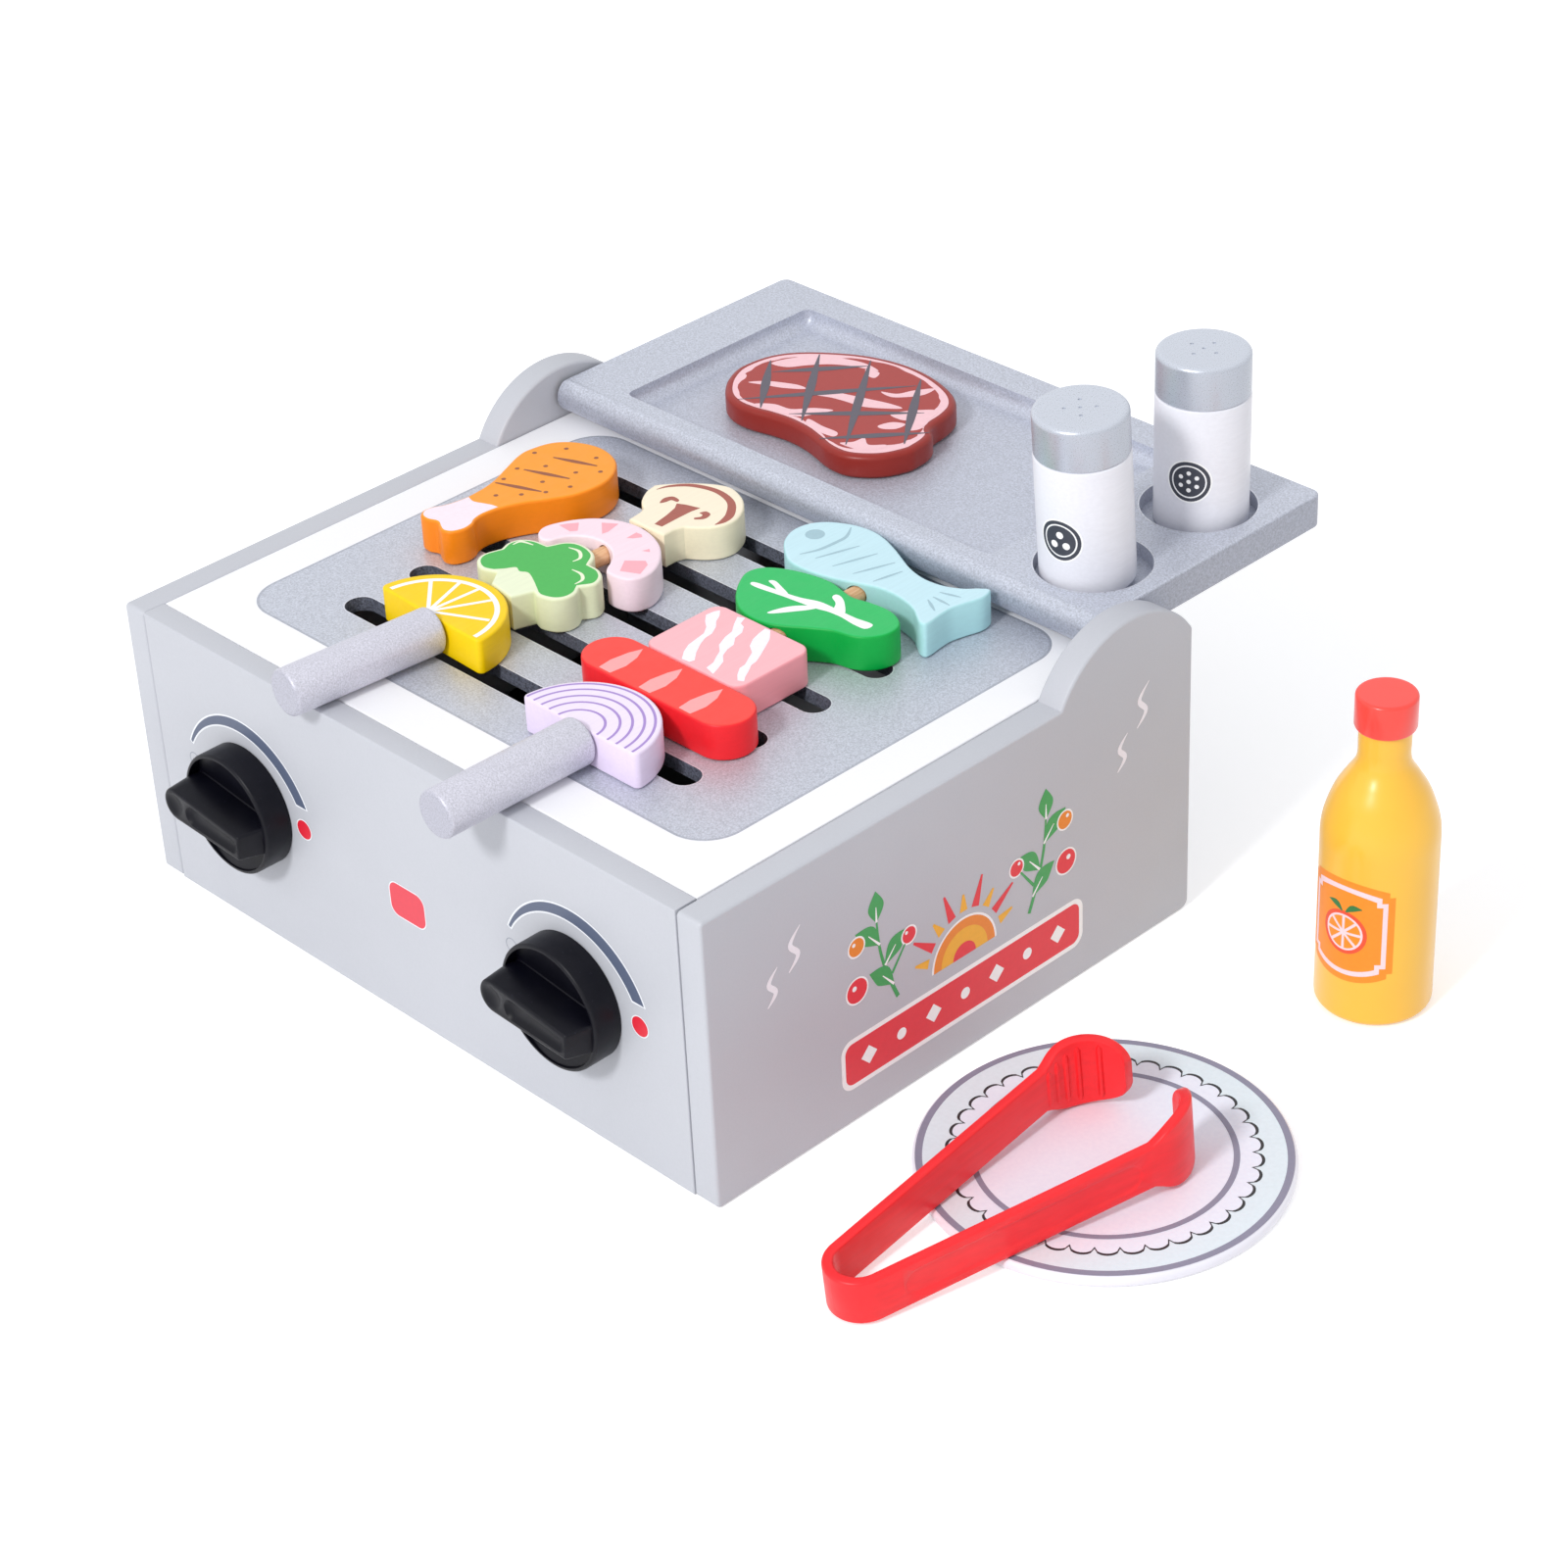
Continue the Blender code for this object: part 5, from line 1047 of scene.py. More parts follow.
def build_food_prints():
    top = on_top(FOOD_TOP)
    left, right = "left_skewer_food", "right_skewer_food"

    lemon = Print()
    lemon.ring(-37.3, 47.5, 20.6, 22.3, "white", start=1.5, stop=173.5, steps=80)
    for x, y in ((-53.7, 62.3), (-45.3, 67.7), (-37.3, 68.7), (-28.7, 66.7), (-20, 57.7)):
        lemon.band([(-38.8, 48.6), (x, y)], 1.3, "white")
    lemon.make("lemon_print", left, top, "lemon_yellow")

    shrimp = Print()
    for shape in (((-49.3, 112.7), (-48.0, 115.0), (-45.6, 118.0), (-41.9, 114.2), (-43.5, 112.2)),
                  ((-40.0, 122.9), (-35.3, 126.0), (-33.9, 120.2), (-34.4, 118.0)),
                  ((-26.4, 121.4), (-26.7, 125.9), (-24.4, 126.1), (-23.0, 125.1), (-24.6, 122.6)),
                  ((-16.5, 118.9), (-15.6, 121.4), (-13.9, 120.1)),
                  ((-16.0, 111.0), (-10.8, 115.3), (-8.4, 114.0), (-5.9, 108.5), (-12.2, 105.5))):
        shrimp.fill(shape, "shrimp")
    shrimp.make("shrimp_print", left, top, "shrimp_pink")

    brown = "brown"
    mushroom = Print()
    mushroom.band([(-43.0, 150.0), (-41.4, 154.4), (-36.2, 159.6), (-27.4, 162.2), (-18.6, 160.2),
                   (-12.8, 154.6), (-11.0, 150.0),
                   (-11.2, 146.2)], [0.3, 1.3, 2.0, 2.3, 2.6, 3.0, 2.4, 0.4], brown)
    mushroom.fill([(-26.4, 133.6), (-27.7, 140.0), (-29.2, 145.2), (-31.0, 147.8), (-28.2, 149.2),
                   (-22.9, 150.7), (-23.5, 147.0), (-23.5, 140.6), (-23.3, 134.0)], brown)
    mushroom.smooth([(-35.5, 144.4), (-36.8, 147.5), (-35.4, 150.2), (-32.3, 150.0),
                     (-31.7, 148.6), (-34.0, 148.2), (-34.4, 146.2)], brown)
    mushroom.smooth([(-20.7, 148.3), (-19.8, 150.4), (-17.3, 149.9), (-16.6, 146.8),
                     (-18.6, 144.4), (-19.6, 144.9), (-18.6, 146.8), (-19.2, 148.1)], brown)
    mushroom.make("mushroom_print", left, top, "mushroom_cream")

    onion = Print()
    for radius in (23.4, 20.2, 16.6, 12.9, 8.5):
        onion.ring(46.3, 34.7, radius - 0.42, radius + 0.42, "onion", start=2, stop=178, steps=80)
    onion.make("onion_print", right, top, "onion_lilac")

    sausage = Print()
    for index in range(3):
        x = 17.7 * index
        sausage.fill([(x + 26.5, 61.5), (x + 26.0, 66.8), (x + 27.1, 73.2), (x + 28.8, 77.6),
                      (x + 31.3, 72.9), (x + 32.4, 67.3), (x + 31.6, 61.4)], "slash")
    sausage.make("sausage_print", right, top, "sausage_red")

    bacon = Print()
    for points in (((28.7, 107.8), (29.6, 109.5), (32.0, 107.0), (33.6, 104.0), (36.0, 101.6),
                    (38.0, 98.0), (38.4, 94.7), (39.8, 91.5), (42.6, 87.0), (45.6, 83.5),
                    (45.1, 81.8), (42.0, 81.5), (39.3, 84.9), (37.4, 88.6), (36.6, 92.9),
                    (36.0, 96.4), (33.8, 99.6), (31.0, 101.7), (28.3, 104.7)),
                   ((36.6, 110.2), (38.9, 111.3), (40.3, 108.1), (42.5, 107.3), (44.5, 104.6),
                    (45.3, 100.9), (47.9, 97.8), (48.4, 94.7), (50.0, 91.2), (52.7, 88.8),
                    (54.6, 84.5), (55.6, 81.7), (51.4, 82.9), (50.8, 86.4), (49.1, 89.2),
                    (47.5, 92.2), (44.5, 94.8), (42.5, 99.3), (41.7, 103.0), (38.8, 106.7)),
                   ((48.1, 111.0), (50.2, 111.2), (53.8, 107.4), (56.1, 103.3), (58.4, 99.1),
                    (60.2, 95.5), (60.6, 93.0), (62.6, 89.8), (64.2, 86.9), (65.8, 84.9),
                    (63.9, 84.0), (61.5, 86.2), (59.2, 89.4), (58.9, 91.9), (56.7, 95.9),
                    (55.4, 98.3), (52.0, 100.6), (49.9, 104.0), (48.8, 107.5))):
        bacon.fill(points, "fat")
    bacon.make("bacon_print", right, top, "bacon_pink")

    leaf = Print()
    for points in (((24.8, 127.2), (25.8, 129.0), (36.4, 130.3), (42.9, 131.5), (49.3, 133.7),
                    (56.6, 133.9), (64.3, 133.9), (71.2, 134.6), (71.4, 131.2), (66.8, 130.7),
                    (60.9, 131.3), (55.5, 131.0), (51.1, 129.9), (44.3, 129.1), (37.3, 128.3),
                    (28.4, 126.9)),
                   ((27.9, 132.2), (29.4, 133.6), (33.8, 132.3), (38.4, 130.4), (36.0, 128.9),
                    (31.6, 131.0)),
                   ((41.6, 118.6), (43.4, 124.0), (46.6, 128.3), (51.2, 131.2), (50.6, 128.6),
                    (47.8, 124.6), (43.2, 118.8)),
                   ((50.1, 138.2), (49.9, 140.2), (52.4, 140.1), (56.0, 137.8), (60.2, 133.4),
                    (56.4, 132.6), (53.6, 136.2))):
        leaf.smooth(points, "white")
    leaf.make("leaf_print", right, top, "leaf_green")

    fish = Print()
    fish.disc(17.6, 163, 3.2, "fish")
    fish.band([(23.1, 173.9), (26.2, 168.6), (26.4, 163.6), (25.6, 156.6), (23.1, 150.7)],
              [0.4, 1.2, 1.4, 1.2, 0.4], "fish")
    for start, end in (((33.7, 167.1), (28.7, 152.1)), ((41.5, 167.3), (36.4, 152.1)),
                       ((49.7, 166.8), (44.6, 152.9)), ((55.3, 164.3), (52.8, 153.6)),
                       ((73.1, 162.5), (80.3, 164.6)), ((73.5, 159.1), (81, 158.7)),
                       ((73.5, 156.8), (79.9, 153.2))):
        fish.stroke(start, end, 0.4, 1.1, "fish")
    fish.make("fish_print", right, top, "fish_blue")


def build_drumstick():
    outline = smooth_loop(DRUMSTICK, 37, 72.8)
    x, y = -78.0, 121.5
    make("drumstick_painted", slab(outline, 0, FOOD_THICK, 0.9), ["chicken"], "drumstick",
         ["drumstick"], placed(x, FRONT + y, FOOD_FOOT))
    marks = Print()
    rim = [(x + a, y + b) for a, b in inset(outline, 0.9)]
    bone = [point for point in rim if point[1] < 106.6]

    def off_start(index):
        """How far a point is from where the bone's print starts, on its left side."""
        return abs(bone[index][1] - 106.3) + (50 if bone[index][0] > x else 0)

    start = min(range(len(bone)), key=off_start)
    edge = path_points([(-73.6, 107.6), (-76.2, 107.2), (-78.9, 106.2), (-82.7, 104.8),
                        (-86.2, 105.7)])
    marks.fill(bone[start:] + bone[:start] + [tuple(p) for p in edge], "bone")
    for start, end in (((-85.7, 142.5), (-70, 148.1)), ((-86.7, 130.3), (-70.3, 136.1)),
                       ((-87, 118), (-70.7, 124))):
        marks.stroke(start, end, 0.7, 1.9, "scorch")
    for x, y in ((-87, 149.5), (-74.5, 151.7), (-66.2, 146.1), (-92.9, 140.5), (-83, 136.7),
                 (-72, 140.3), (-66, 132.5), (-88.9, 129.3), (-75.5, 128.7), (-86.8, 121.5),
                 (-69.3, 124.7), (-74.2, 118.3), (-80.1, 112.3)):
        marks.disc(x, y, 0.82, "scorch", steps=14)
    marks.make("drumstick_print", "drumstick", on_top(FOOD_TOP), "drumstick_orange")


def build_steak():
    outline = smooth_loop(STEAK, STEAK_WIDTH, STEAK_LENGTH)
    spot = Vector((RECESS_LEFT + 62.2, HINGE_Y + 48.7))
    low = HINGE_Z + TRAY_HALF - RECESS_DEPTH + GAP
    top = low + STEAK_THICK
    make("steak_painted", slab(outline, 0, STEAK_THICK, 1.7), ["steak"], "steak", ["steak"],
         placed(*spot, low))
    marks = Print()
    marks.fill(inset(outline, 2.6), "rind")
    meat = smooth_loop([(x * 0.89, y * 0.86) for x, y in STEAK], STEAK_WIDTH, STEAK_LENGTH)
    wavy = []
    for index, (x, y) in enumerate(meat):
        swell = 1 + 0.020 * sin(index * 0.12) - 0.022 * max(sin(index * 0.23 + 1.3), 0)
        swell -= 0.012 * max(sin(index * 0.61), 0)
        wavy.append((x * swell, y * swell))
    marks.fill(wavy, "meat", 1)
    for points in (
            ((-42, 1), (-39, 13), (-32, 25), (-20, 33), (-12, 35), (-5, 33),
             (-11, 30), (-17, 27), (-24, 21), (-30, 12), (-35, 3)),
            ((-37, -24), (-33, -17), (-27, -12), (-20, -8), (-16, -9), (-23, -16),
             (-30, -20)),
            ((-11, -11), (-7, -2), (1, 2), (8, 5), (18, 9), (24, 9), (16, 0),
             (10, -4), (4, -5), (-3, -7)),
            ((8, 16), (14, 20), (17, 29), (22, 38), (22.5, 29), (19, 21), (14, 15)),
            ((24, 0), (27, 9), (35, 20), (38, 12), (41, -1), (38, -7), (35, 2),
             (30, -1)),
            ((27, -14), (29, -6), (34, -3), (34, -10), (30, -15)),
            ((26, -42), (29, -36), (30, -29), (35, -33), (40, -27), (41, -31), (36, -40)),
            ((-22, -40), (-16, -33), (-8, -31), (-2, -22), (5, -17), (2, -26),
             (-1, -34), (-8, -38), (-15, -40)),
            ((-10, 30), (-4, 32), (-2, 26), (-5, 25)),
            ((3, -33), (11, -34), (19, -34), (20, -39), (11, -40), (5, -38))):
        vein = [(x / 100 * STEAK_WIDTH, y / 100 * STEAK_LENGTH) for x, y in points]
        marks.smooth(vein, "rind", 2)
    shift = Vector((-5.4 - spot.x, 5.5 - spot.y + FRONT))

    def seen(across, down):
        """Point of the print from a plan drawn at ten units to the millimetre."""
        return (-92 + across / 10 + shift.x, 280 - down / 10 + shift.y)

    for start, end in (((222, 515), (450, 785)), ((318, 372), (622, 760)),
                       ((485, 290), (855, 785)), ((715, 280), (998, 655))):
        marks.stroke(seen(*start), seen(*end), 0.4, 3.2, "grill", 4)
    for start, end in (((300, 560), (500, 335)), ((365, 770), (720, 345)),
                       ((570, 740), (880, 465)), ((770, 800), (995, 555))):
        middle = Vector(seen(*between(start, end)))
        ends = [tuple(middle.lerp(Vector(seen(*tip)), 1.1)) for tip in (start, end)]
        marks.stroke(*ends, 0.3, 3.2, "grill", 3)

    def on_steak(u, v, lift):
        return (u + spot.x, v + spot.y, top + lift)

    marks.make("steak_print", "steak", on_steak, "steak_red")


# Shakers, plate, bottle

def build_shaker(name, place, turn, toward, height):
    radius, edge, soft, cap_low, total = SHAKER_RADIUS, 1.2, 1.7, 45.4, 60.0
    body = name + "_shaker"
    foot = bow(radius - edge, edge, edge, -90, -68, -45, -23, 0)
    neck = bow(radius - 0.7, cap_low - 0.7, 0.7, 0, 30, 60, 85)
    make(body + "_painted", turned(foot + neck, 128), ["shaker"], body, [body + "_body"], place)
    crown = [(radius - 0.5, cap_low + 0.05), (radius - 0.15, cap_low + 0.4)]
    crown += bow(radius - 0.15 - soft, total - soft, soft, 0, 15, 30, 45, 60, 75, 90)
    crown.append((radius - soft - 0.5, total))
    holes = []
    for spot in [(0, 0)] + arc((0, 0), 5.0, turn, turn + 1.5 * pi, 3):
        holes.append(prism(circle(0.6, 20, spot), total - 0.3, total + 1))
    make(body + "_capped", turned(crown, 128), ["cap"], body, [body + "_cap"], place, cuts=holes)
    marks = Print()
    marks.disc(0, 0, 7.6, "white", 0, 48)
    marks.disc(0, 0, 7.0, "badge", 1, 48)
    marks.ring(0, 0, 5.3, 5.8, "white", 2, steps=48)
    if name == "salt":
        for x, y in ((0, 0), (2.6, 1.5), (-2.6, 1.5), (0, -3.0), (0, 3.0), (2.6, -1.5),
                     (-2.6, -1.5)):
            marks.disc(x, y, 0.75, "white", 2, 16)
    else:
        for x, y in ((0, 1.9), (-2.1, -1.6), (2.1, -1.6)):
            marks.disc(x, y, 1.25, "white", 2, 20)
    mapping = round_upright(radius, toward, place)
    marks.make(name + "_badge", body, lambda u, v, lift: mapping(u, v + height, lift),
               "shaker_white", 1.0)


def build_shakers():
    """Salt upright in the back pocket, pepper askew in the front one."""
    foot = HINGE_Z + TRAY_HALF - POCKET_DEPTH + GAP
    front_y = HINGE_Y + POCKET_Y
    salt = placed(POCKET_X + 0.6, front_y + POCKET_PITCH + 0.6, foot)
    build_shaker("salt", salt, 0.0, (0.416, -0.91), 132.3 - foot)
    lean = 3.4
    raised = foot + SHAKER_RADIUS * sin(radians(lean))
    pepper = placed(POCKET_X - 0.9, front_y - 1.5, raised, turn_by(lean, "X"))
    build_shaker("pepper", pepper, radians(44), (0.194, -0.98), 132.5 - foot)


def build_plate():
    radius, edge = 57.0, 1.5
    rim = bow(radius - edge, edge, edge, -90, -72, -54, -36, -18, 0)
    profile = [(radius - edge - 0.5, 0)] + rim
    profile += [(r, PLATE_HIGH - z) for r, z in reversed(profile)]
    x, y, count = 203.6, 92.5, 38
    make("plate_lacquered", turned(profile, 192), ["plate"], "plate", ["plate"],
         placed(x, FRONT + y, 0))
    marks = Print()
    marks.disc(x, y, 44.8, "petal", 0, 160)
    marks.ring(x, y, 44.8, 54.4, "mint", 0, steps=160)
    marks.ring(x, y, 53.8, 56.0, "ring", 1, steps=160)
    petals = []
    for index in range(count):
        for step in range(8):
            t = step / 4 - 1
            radius, a = 43.4 + 2.9 * sqrt(max(1 - t * t, 0)), pi * (2 * index + t) / count
            petals.append((x + radius * cos(a), y + radius * sin(a)))
    inside, outside = ([(x + (px - x) * size, y + (py - y) * size) for px, py in petals]
                       for size in (0.9, 1.021))
    marks.strip(inside, petals, "petal", 1, closed=True)
    marks.strip(petals, outside, "black", 2, closed=True)
    marks.ring(x, y, 38.0, 39.9, "ring", 3, steps=160)
    marks.make("plate_print", "plate", on_top(PLATE_HIGH), "plate_white")


def build_bottle():
    x, y, radius, foot = 209.2, 212.4, 18.4, 2.8
    profile = bow(radius - foot, foot, foot, -90, -75, -60, -45, -30, -15, 0)
    shoulder = ((0.05, 0.12), (0.18, 0.31), (0.37, 0.51), (0.66, 0.71), (0.92, 0.88))
    points = [(radius, 30.0), (radius, 50.0), (radius, 58.0), (radius - 0.02, 62.5)]
    points += [(radius - 10.3 * a, 63.7 + 25.5 * b) for a, b in shoulder]
    points += [(8.1, 89.6), (8.1, 94.0), (8.1, 98.8)]
    profile += [(p.x, p.y) for p in path_points(points)]
    place = placed(x, FRONT + y, 0)
    make("bottle_painted", turned([(radius - foot - 1, 0)] + profile, 128), ["bottle"], "bottle",
         ["bottle_body"], place)
    cap, low, high, edge = 9.6, 99.1, 110.6, 1.0
    rim = bow(cap - edge, high - edge, edge, 0, 22, 45, 67, 90)
    skirt = bow(cap - edge, low + edge, edge, -90, -45, 0)
    crown = turned(skirt + rim + [(cap - edge - 0.4, high)], 96)
    make("bottle_cap_painted", crown, ["bottle_cap"], "bottle", ["bottle_cap"], place)

    mapping = round_upright(radius, (0.078, -0.997), place)
    label = Print()

    def panel(half, low, high, swell, notch):
        """Label outline with notched corners and bowed ends."""
        flat = half - notch
        bend = [(share / 6 - 1, swell * (1 - (share / 6 - 1) ** 2)) for share in range(13)]
        below = [(t * flat, low - bulge) for t, bulge in bend]
        above = [(-t * flat, high + bulge) for t, bulge in bend]
        steps = [(flat, low + notch), (half, low + notch), (half, high - notch),
                 (flat, high - notch)]
        return below + steps + above + [(-x, y) for x, y in reversed(steps)]

    label.fill(panel(16.0, 18.8, 50.6, 2.6, 1.8), "label")
    inside, outside = panel(12.3, 22.2, 47.2, 2.0, 1.9), panel(13.8, 20.7, 48.7, 2.2, 1.9)
    label.strip(inside, outside, "label_line", 1, closed=True)
    middle = 34.0
    label.disc(0, middle, 7.8, "fruit", 1, 48)
    label.disc(0, middle, 6.5, "label_line", 2, 48)
    for index in range(8):
        a = radians(22.5 + 45 * index)
        wedge = [(1.1 * cos(a), middle + 1.1 * sin(a))]
        wedge += [(5.8 * cos(a + t), middle + 5.8 * sin(a + t)) for t in (-0.31, -0.1, 0.1, 0.31)]
        label.fill(wedge, "label", 3)
    for side in (-1, 1):
        label.band([(side * 0.6, 41.6), (side * 3.0, 43.6), (side * 6.0, 43.8)], [0.4, 2.2, 0.2],
                   "sprig", 2)
    label.make("bottle_label", "bottle", mapping, "bottle_yellow", 0.9)


# Tongs

PADDLE = (
    (0, 620), (80, 720), (160, 840), (240, 930), (320, 980), (400, 1000), (500, 1000), (600, 980),
    (700, 940), (790, 880), (860, 800), (920, 700), (960, 600), (985, 500), (1000, 380),
)


def build_tongs():
    band, thick, bend, arm_length, paddle, widest = 15.5, 3.4, 9.0, 122.5, 30.0, 25.0
    curl_length, curl_radius, spread = 26.0, 16.5, radians(9.15)
    lean = (widest - band) / 2 + PLATE_HIGH + 2 * GAP
    widest_at = arm_length - paddle * 0.55
    pitch = asin(lean / (widest_at + bend))
    z = GAP + (bend + thick / 2) * sin(pitch) + band / 2
    turn = turn_by(-5.85) @ Matrix.Rotation(pitch, 4, "X")
    tongs = placed(194.9, FRONT - 0.8, z, turn)

    def section(half_height):
        return rounded([(-thick / 2, -half_height, 0.9), (thick / 2, -half_height, 0.9),
                        (thick / 2, half_height, 0.9), (-thick / 2, half_height, 0.9)], 4)

    start = arm_length - paddle
    heights = path_points([(share / 1000, height / 1000) for share, height in PADDLE], 3)
    for side, word in ((-1, "left"), (1, "right")):
        swing = Matrix.Rotation(-side * spread, 4, "Z")
        root = Vector((side * bend * cos(spread), -bend * sin(spread), 0))
        arm_place = Matrix.Translation(root) @ swing
        rings = []
        first = -pi / 2
        last = -spread if side > 0 else -pi + spread
        for step in range(17):
            a = first + (last - first) * step / 16
            way = Vector((cos(a), sin(a), 0))
            rings.append([tuple(way * (bend + side * across) + Vector((0, 0, up)))
                          for across, up in section(band / 2)])

        def arm_point(along, across, up):
            bent = max(along - (arm_length - curl_length), 0)
            a = bent / curl_radius
            inward = curl_radius * (1 - cos(a))
            forward = along - bent + curl_radius * sin(a)
            spot = Vector((-side * inward + across * cos(a), forward + side * across * sin(a), up))
            return tuple(arm_place @ spot)

        stations = [(step * start / 12, band / 2) for step in range(1, 12)]
        stations += [(start + paddle * spot.x, widest / 2 * spot.y) for spot in heights]
        for along, half_height in stations:
            rings.append([arm_point(along, across, up) for across, up in section(half_height)])
        groove_length, groove_width, groove_start = start - 12, 9.6, 8
        rows = []
        for deep, grow in ((0.45, -1.0), (0.38, -0.5), (0.0, 0.15), (-2, 0.15)):
            outline = stadium(groove_length + 2 * grow, groove_width + 2 * grow,
                              (groove_start + groove_length / 2, 0), 14)
            rows.append([tuple(arm_place @ Vector((side * (thick / 2 - deep), y, up)))
                         for y, up in outline])
        groove = loft(rows)
        arm = make(f"tongs_{word}_half", loft(rings), ["tongs"], None, (), tongs, cuts=[groove])
        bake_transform(arm)
        nodes = [f"tongs_{word}_arm"] + (["tongs_bend"] if side < 0 else [])
        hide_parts(*nodes)

        ribs = []
        for share in (0.05, 0.18, 0.31, 0.46, 0.70):
            middle_at = start + paddle * share
            half = 0.8
            reach_up = 12.5 * (0.62 + 0.38 * min(share / 0.45, 1)) * 0.80
            crest = -side * (thick / 2 + 0.55)
            rim = [(-half - 0.5, 0), (-half - 0.3, -side * thick / 2), (-half * 0.5, crest),
                   (half * 0.5, crest), (half + 0.3, -side * thick / 2), (half + 0.5, 0)]
            levels = ((-reach_up, 0.25), (1.0 - reach_up, 1.0), (reach_up - 1.0, 1.0),
                      (reach_up, 0.25))
            ribs.append(loft([[arm_point(middle_at + a * grow, b if grow == 1 else b * 0.9, up)
                               for a, b in rim] for up, grow in levels]))
        make(f"tongs_{word}_ribs", joined(*ribs), ["tongs"], f"tongs_arm_{word}", (), tongs)


# Stage

def build_stage():
    floor_coat = Coat("studio_floor", 0.9, specular=0.0)
    floor_coat.color((0.86, 0.86, 0.865, 1))
    floor_coat.shader.inputs["Emission Color"].default_value = (1, 1, 1, 1)
    glow = floor_coat.math("MULTIPLY", floor_coat.seen_directly(), 0.40)
    floor_coat.link(glow, floor_coat.shader.inputs["Emission Strength"])
    bm = bmesh.new()
    bmesh.ops.create_grid(bm, x_segments=1, y_segments=1, size=6)
    floor = added("floor", mesh_from("floor", bm, [floor_coat.material]))
    floor.location.z = -0.0002

    world = bpy.data.worlds.new("studio")
    world.use_nodes = True
    sky = Nodes(world.node_tree)
    back = sky.tree.nodes["Background"]
    back.inputs["Color"].default_value = (0.97, 0.98, 1.0, 1)
    level = sky.node("ShaderNodeMapRange")
    level.inputs["To Min"].default_value = 0.77
    level.inputs["To Max"].default_value = 1.03
    sky.link(sky.seen_directly(), level.inputs["Value"])
    sky.link(level.outputs["Result"], back.inputs["Strength"])
    bpy.context.scene.world = world

    data = bpy.data.lights.new("key", "AREA")
    data.shape = "DISK"
    data.size = 0.42
    data.energy = 29
    place, target = Vector((0.35, -1.82, 1.60)), Vector((0.05, 0, 0.05))
    lamp = added("key", data)
    lamp.location = place
    lamp.rotation_mode = "QUATERNION"
    lamp.rotation_quaternion = (target - place).to_track_quat("-Z", "Y")


def build_camera():
    """Camera of the photo; the focal length counts in pixels of a picture 1600 wide."""
    azimuth, elevation, roll = -0.822072, -0.572655, -0.0508614
    focal, picture_width, sensor_width = 3905.27, 1600, 36
    place = (0.794061, -0.577584 - 0.1055, 0.712037)
    forward = Vector((cos(elevation) * sin(azimuth), cos(elevation) * cos(azimuth),
                      sin(elevation)))
    right = forward.cross(Vector((0, 0, 1))).normalized()
    up = right.cross(forward)
    tilted = right * cos(roll) + up * sin(roll)
    upright = up * cos(roll) - right * sin(roll)
    data = bpy.data.cameras.new("camera")
    data.sensor_width = sensor_width
    data.sensor_fit = "HORIZONTAL"
    data.lens = focal / picture_width * sensor_width
    data.clip_start = 0.01
    camera = added("camera", data)
    matrix = Matrix((tilted, upright, -forward)).transposed().to_4x4()
    matrix.translation = place
    camera.matrix_world = matrix
    bpy.context.scene.camera = camera


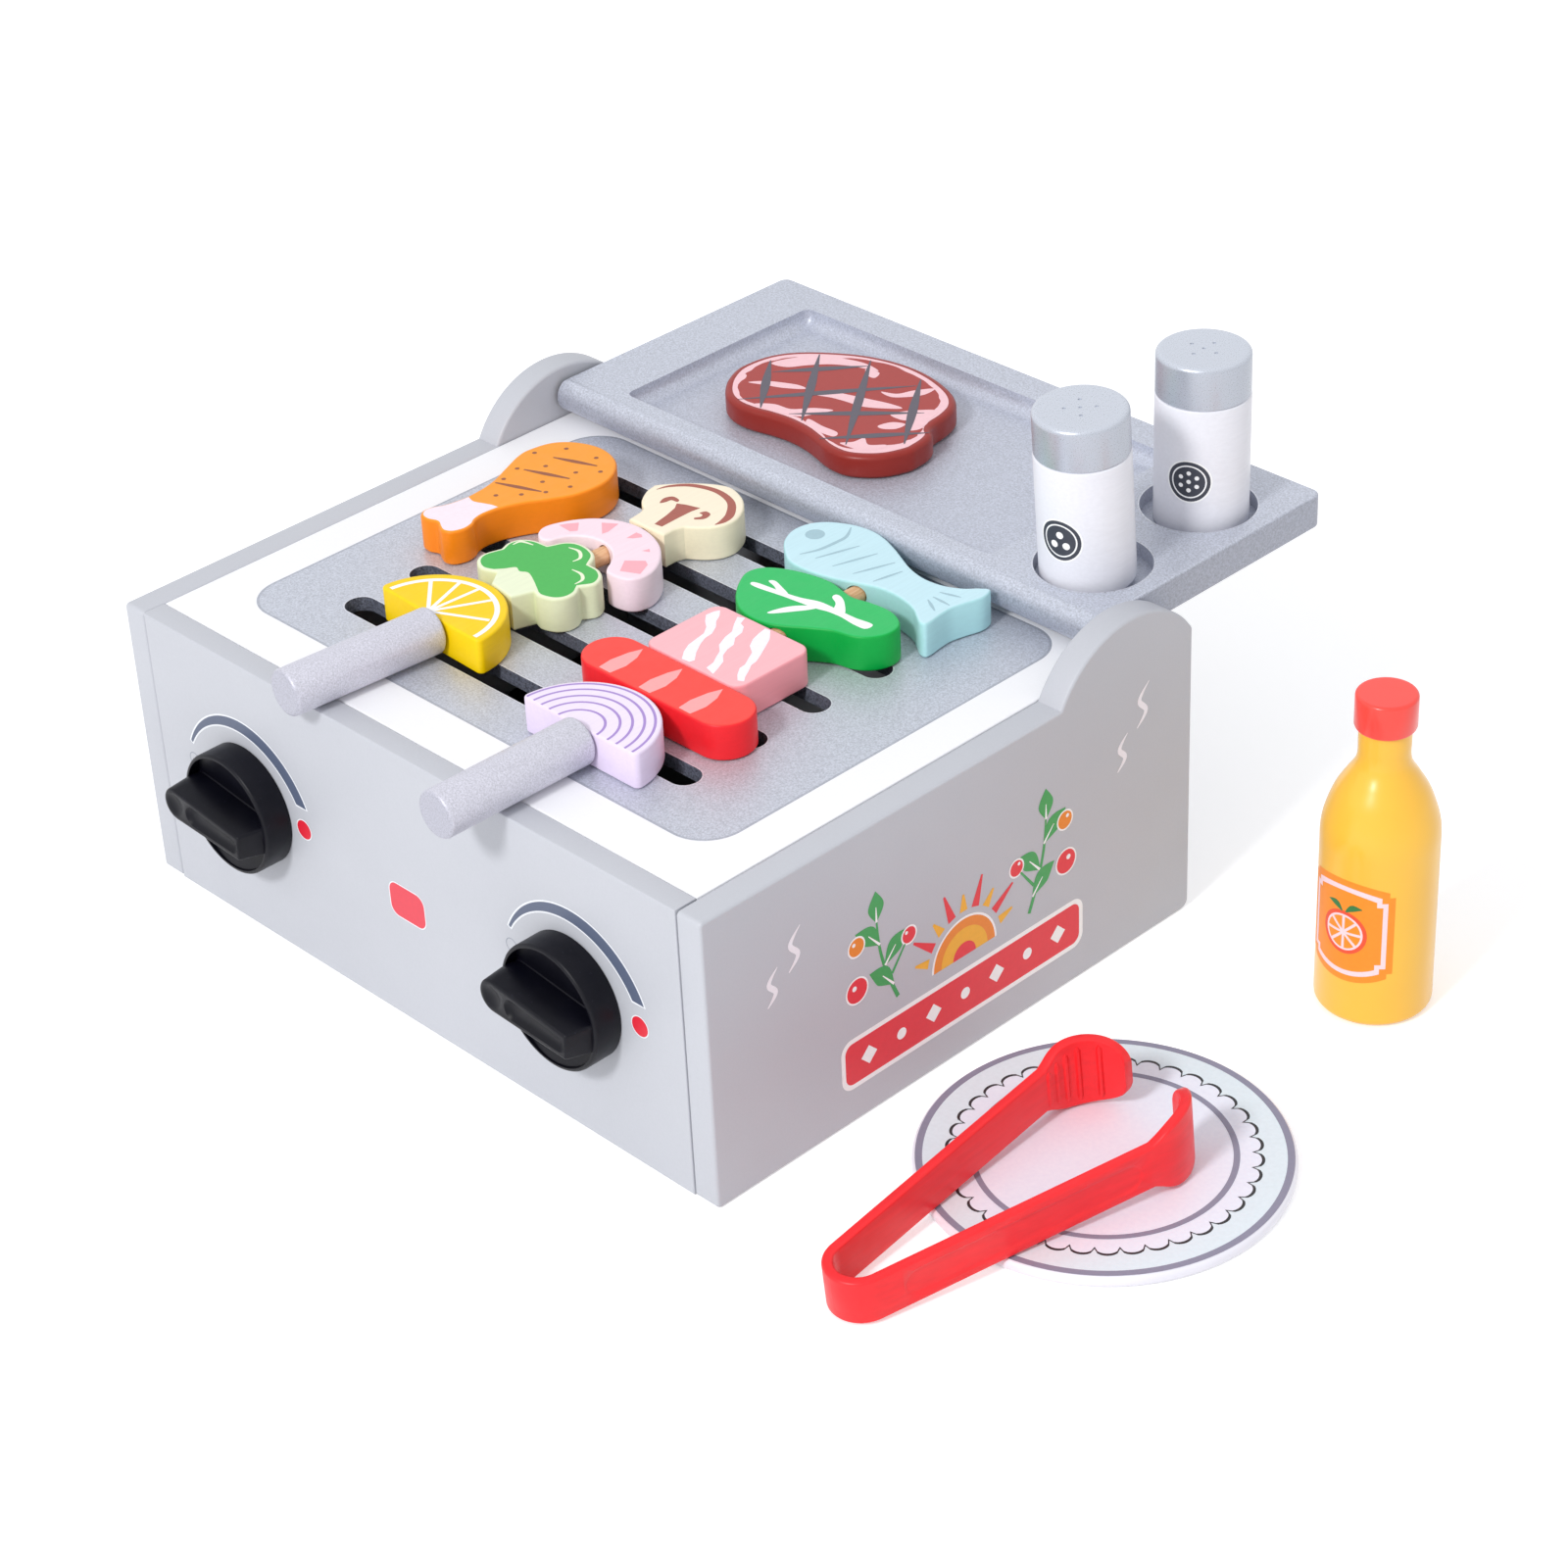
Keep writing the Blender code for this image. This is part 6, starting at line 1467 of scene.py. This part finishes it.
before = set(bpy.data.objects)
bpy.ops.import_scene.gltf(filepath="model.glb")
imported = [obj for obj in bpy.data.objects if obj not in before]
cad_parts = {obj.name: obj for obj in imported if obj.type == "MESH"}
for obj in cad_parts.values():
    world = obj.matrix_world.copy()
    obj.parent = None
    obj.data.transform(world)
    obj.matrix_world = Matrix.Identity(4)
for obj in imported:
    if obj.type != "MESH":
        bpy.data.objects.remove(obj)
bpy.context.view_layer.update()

build_camera()
build_stage()
COATS = {
    "grey": board_paint("body_grey", "C2C4CB"),
    # near-black inside boards: painted shade for the box's inside
    "dark": board_paint("inside_painted_shade", "050506", 0.9),
    "deck": deck_coat(),
    "slot": silver_paint("slot_wall", "666A78", 0.5, 0.1, strength=3.0),
    # slot rims: paler strip, a painted highlight on each slot's edge
    "rim": silver_paint("slot_rim", "DCDFE8", 0.35, 0.3),
    # tray: faces turned away from above, the nose and the ends, take the darker side colour:
    # painted shade
    "tray": silver_paint("tray_silver", "C4C8D4", 0.40, 0.25, 1600, 1.1, "A6AAB7"),
    "tray_wall": silver_paint("tray_inner_silver", "C1C5D2", 0.42, 0.25, 1600, 1.0),
    # pocket lips: a paler ring, painted highlight on each pocket's rim
    "tray_lip": silver_paint("tray_lip_silver", "D8DBE3", 0.34, 0.6),
    # handles: end faces keep the darker first colour, the round side the paler one: painted light
    # and shade by face direction
    "handle": silver_paint("handle_silver", "B4B4C0", 0.45, 0.25, 1900, 0.9, "D1D0DB", "Y"),
    # shaker caps: top paler than the side: painted light on the top, painted shade on the side
    "cap": silver_paint("cap_silver", "CED3DD", 0.32, 0.45, 3000, 0.2, "BBC0CA"),
    "stick": stick_wood(),
    "steel": steel_coat(),
    "knob": knob_plastic(),
    # food paints: side colour, then top colour; the mostly paler tops are partly print and partly
    # painted light from above
    "lemon": wood_paint("lemon_yellow_paint", "FFD400", "FFD40A"),
    "broccoli": wood_paint("broccoli_pale_paint", "E6EDC6", "EFF6D6"),
    "shrimp": wood_paint("shrimp_pink_paint", "FFE6F0", "FCE3EE"),
    "mushroom": wood_paint("mushroom_cream_paint", "FFF2D2", "FDF1D8"),
    "onion": wood_paint("onion_lilac_paint", "EBDBF4", "F4E7FA"),
    "sausage": wood_paint("sausage_red_paint", "F2212A", "FF4B42"),
    "bacon": wood_paint("bacon_pink_paint", "F5A0A8", "FDBDC4"),
    "leaf": wood_paint("leaf_green_paint", "00AB44", "30C268"),
    "fish": wood_paint("fish_blue_paint", "B4E4E8", "CBECF5"),
    "chicken": wood_paint("drumstick_orange_paint", "FF8C12", "FFA230"),
    "steak": wood_paint("steak_red_paint", "92281F", "9A2B24", roughness=0.36, specular=0.35),
    "shaker": wood_paint("shaker_white_paint", "EEEEF5", roughness=0.35, spread=0.012),
    "plate": gloss_paint("plate_white_lacquer", "F1EFF8", 0.28, 0.35),
    "bottle": gloss_paint("bottle_yellow_paint", "FFC23A", 0.30, 0.3),
    "bottle_cap": gloss_paint("bottle_red_paint", "FF4438", 0.30, 0.3),
    "tongs": tongs_plastic(),
}
INKS = {name: print_ink(name + "_print", code) for name, code in (
    ("blue", "566078"), ("red", "E01832"), ("coral", "E03A4B"), ("line", "9298A4"),
    ("white", "FFFFFF"), ("broccoli", "44B650"), ("leaf_white", "F0F7D8"), ("shrimp", "FFB0BC"),
    ("brown", "A8594A"), ("onion", "A98BD0"), ("slash", "FFA8A8"), ("fat", "F9F6FF"),
    ("fish", "A4C5D0"), ("bone", "F9EAF4"), ("halo", "EDEFF4"), ("scorch", "96532F"),
    ("rind", "F9CBD2"), ("meat", "A8352F"), ("grill", "595460"), ("badge", "3A3D48"),
    ("petal", "EDF1FF"), ("mint", "E2EFF6"), ("ring", "8E8DA2"), ("black", "2A2A2E"),
    ("label", "FF931C"), ("label_line", "FFDDE2"), ("fruit", "F0522E"), ("ribbon", "EA2E3C"),
    ("green", "3FA357"), ("sprig", "2F7A3C"), ("amber", "F7B52C"), ("orange", "F08A24"),
    ("pale", "F6F2F8"),
)}

build_box()
build_front_prints()
build_side_prints()
build_tray()
for word, x in (("left", -78.35), ("right", 76.75)):
    build_knob(word, x)
build_left_skewer()
build_right_skewer()
build_food_prints()
build_drumstick()
build_steak()
build_shakers()
build_plate()
build_bottle()
build_tongs()

bpy.context.scene.view_settings.view_transform = "Standard"
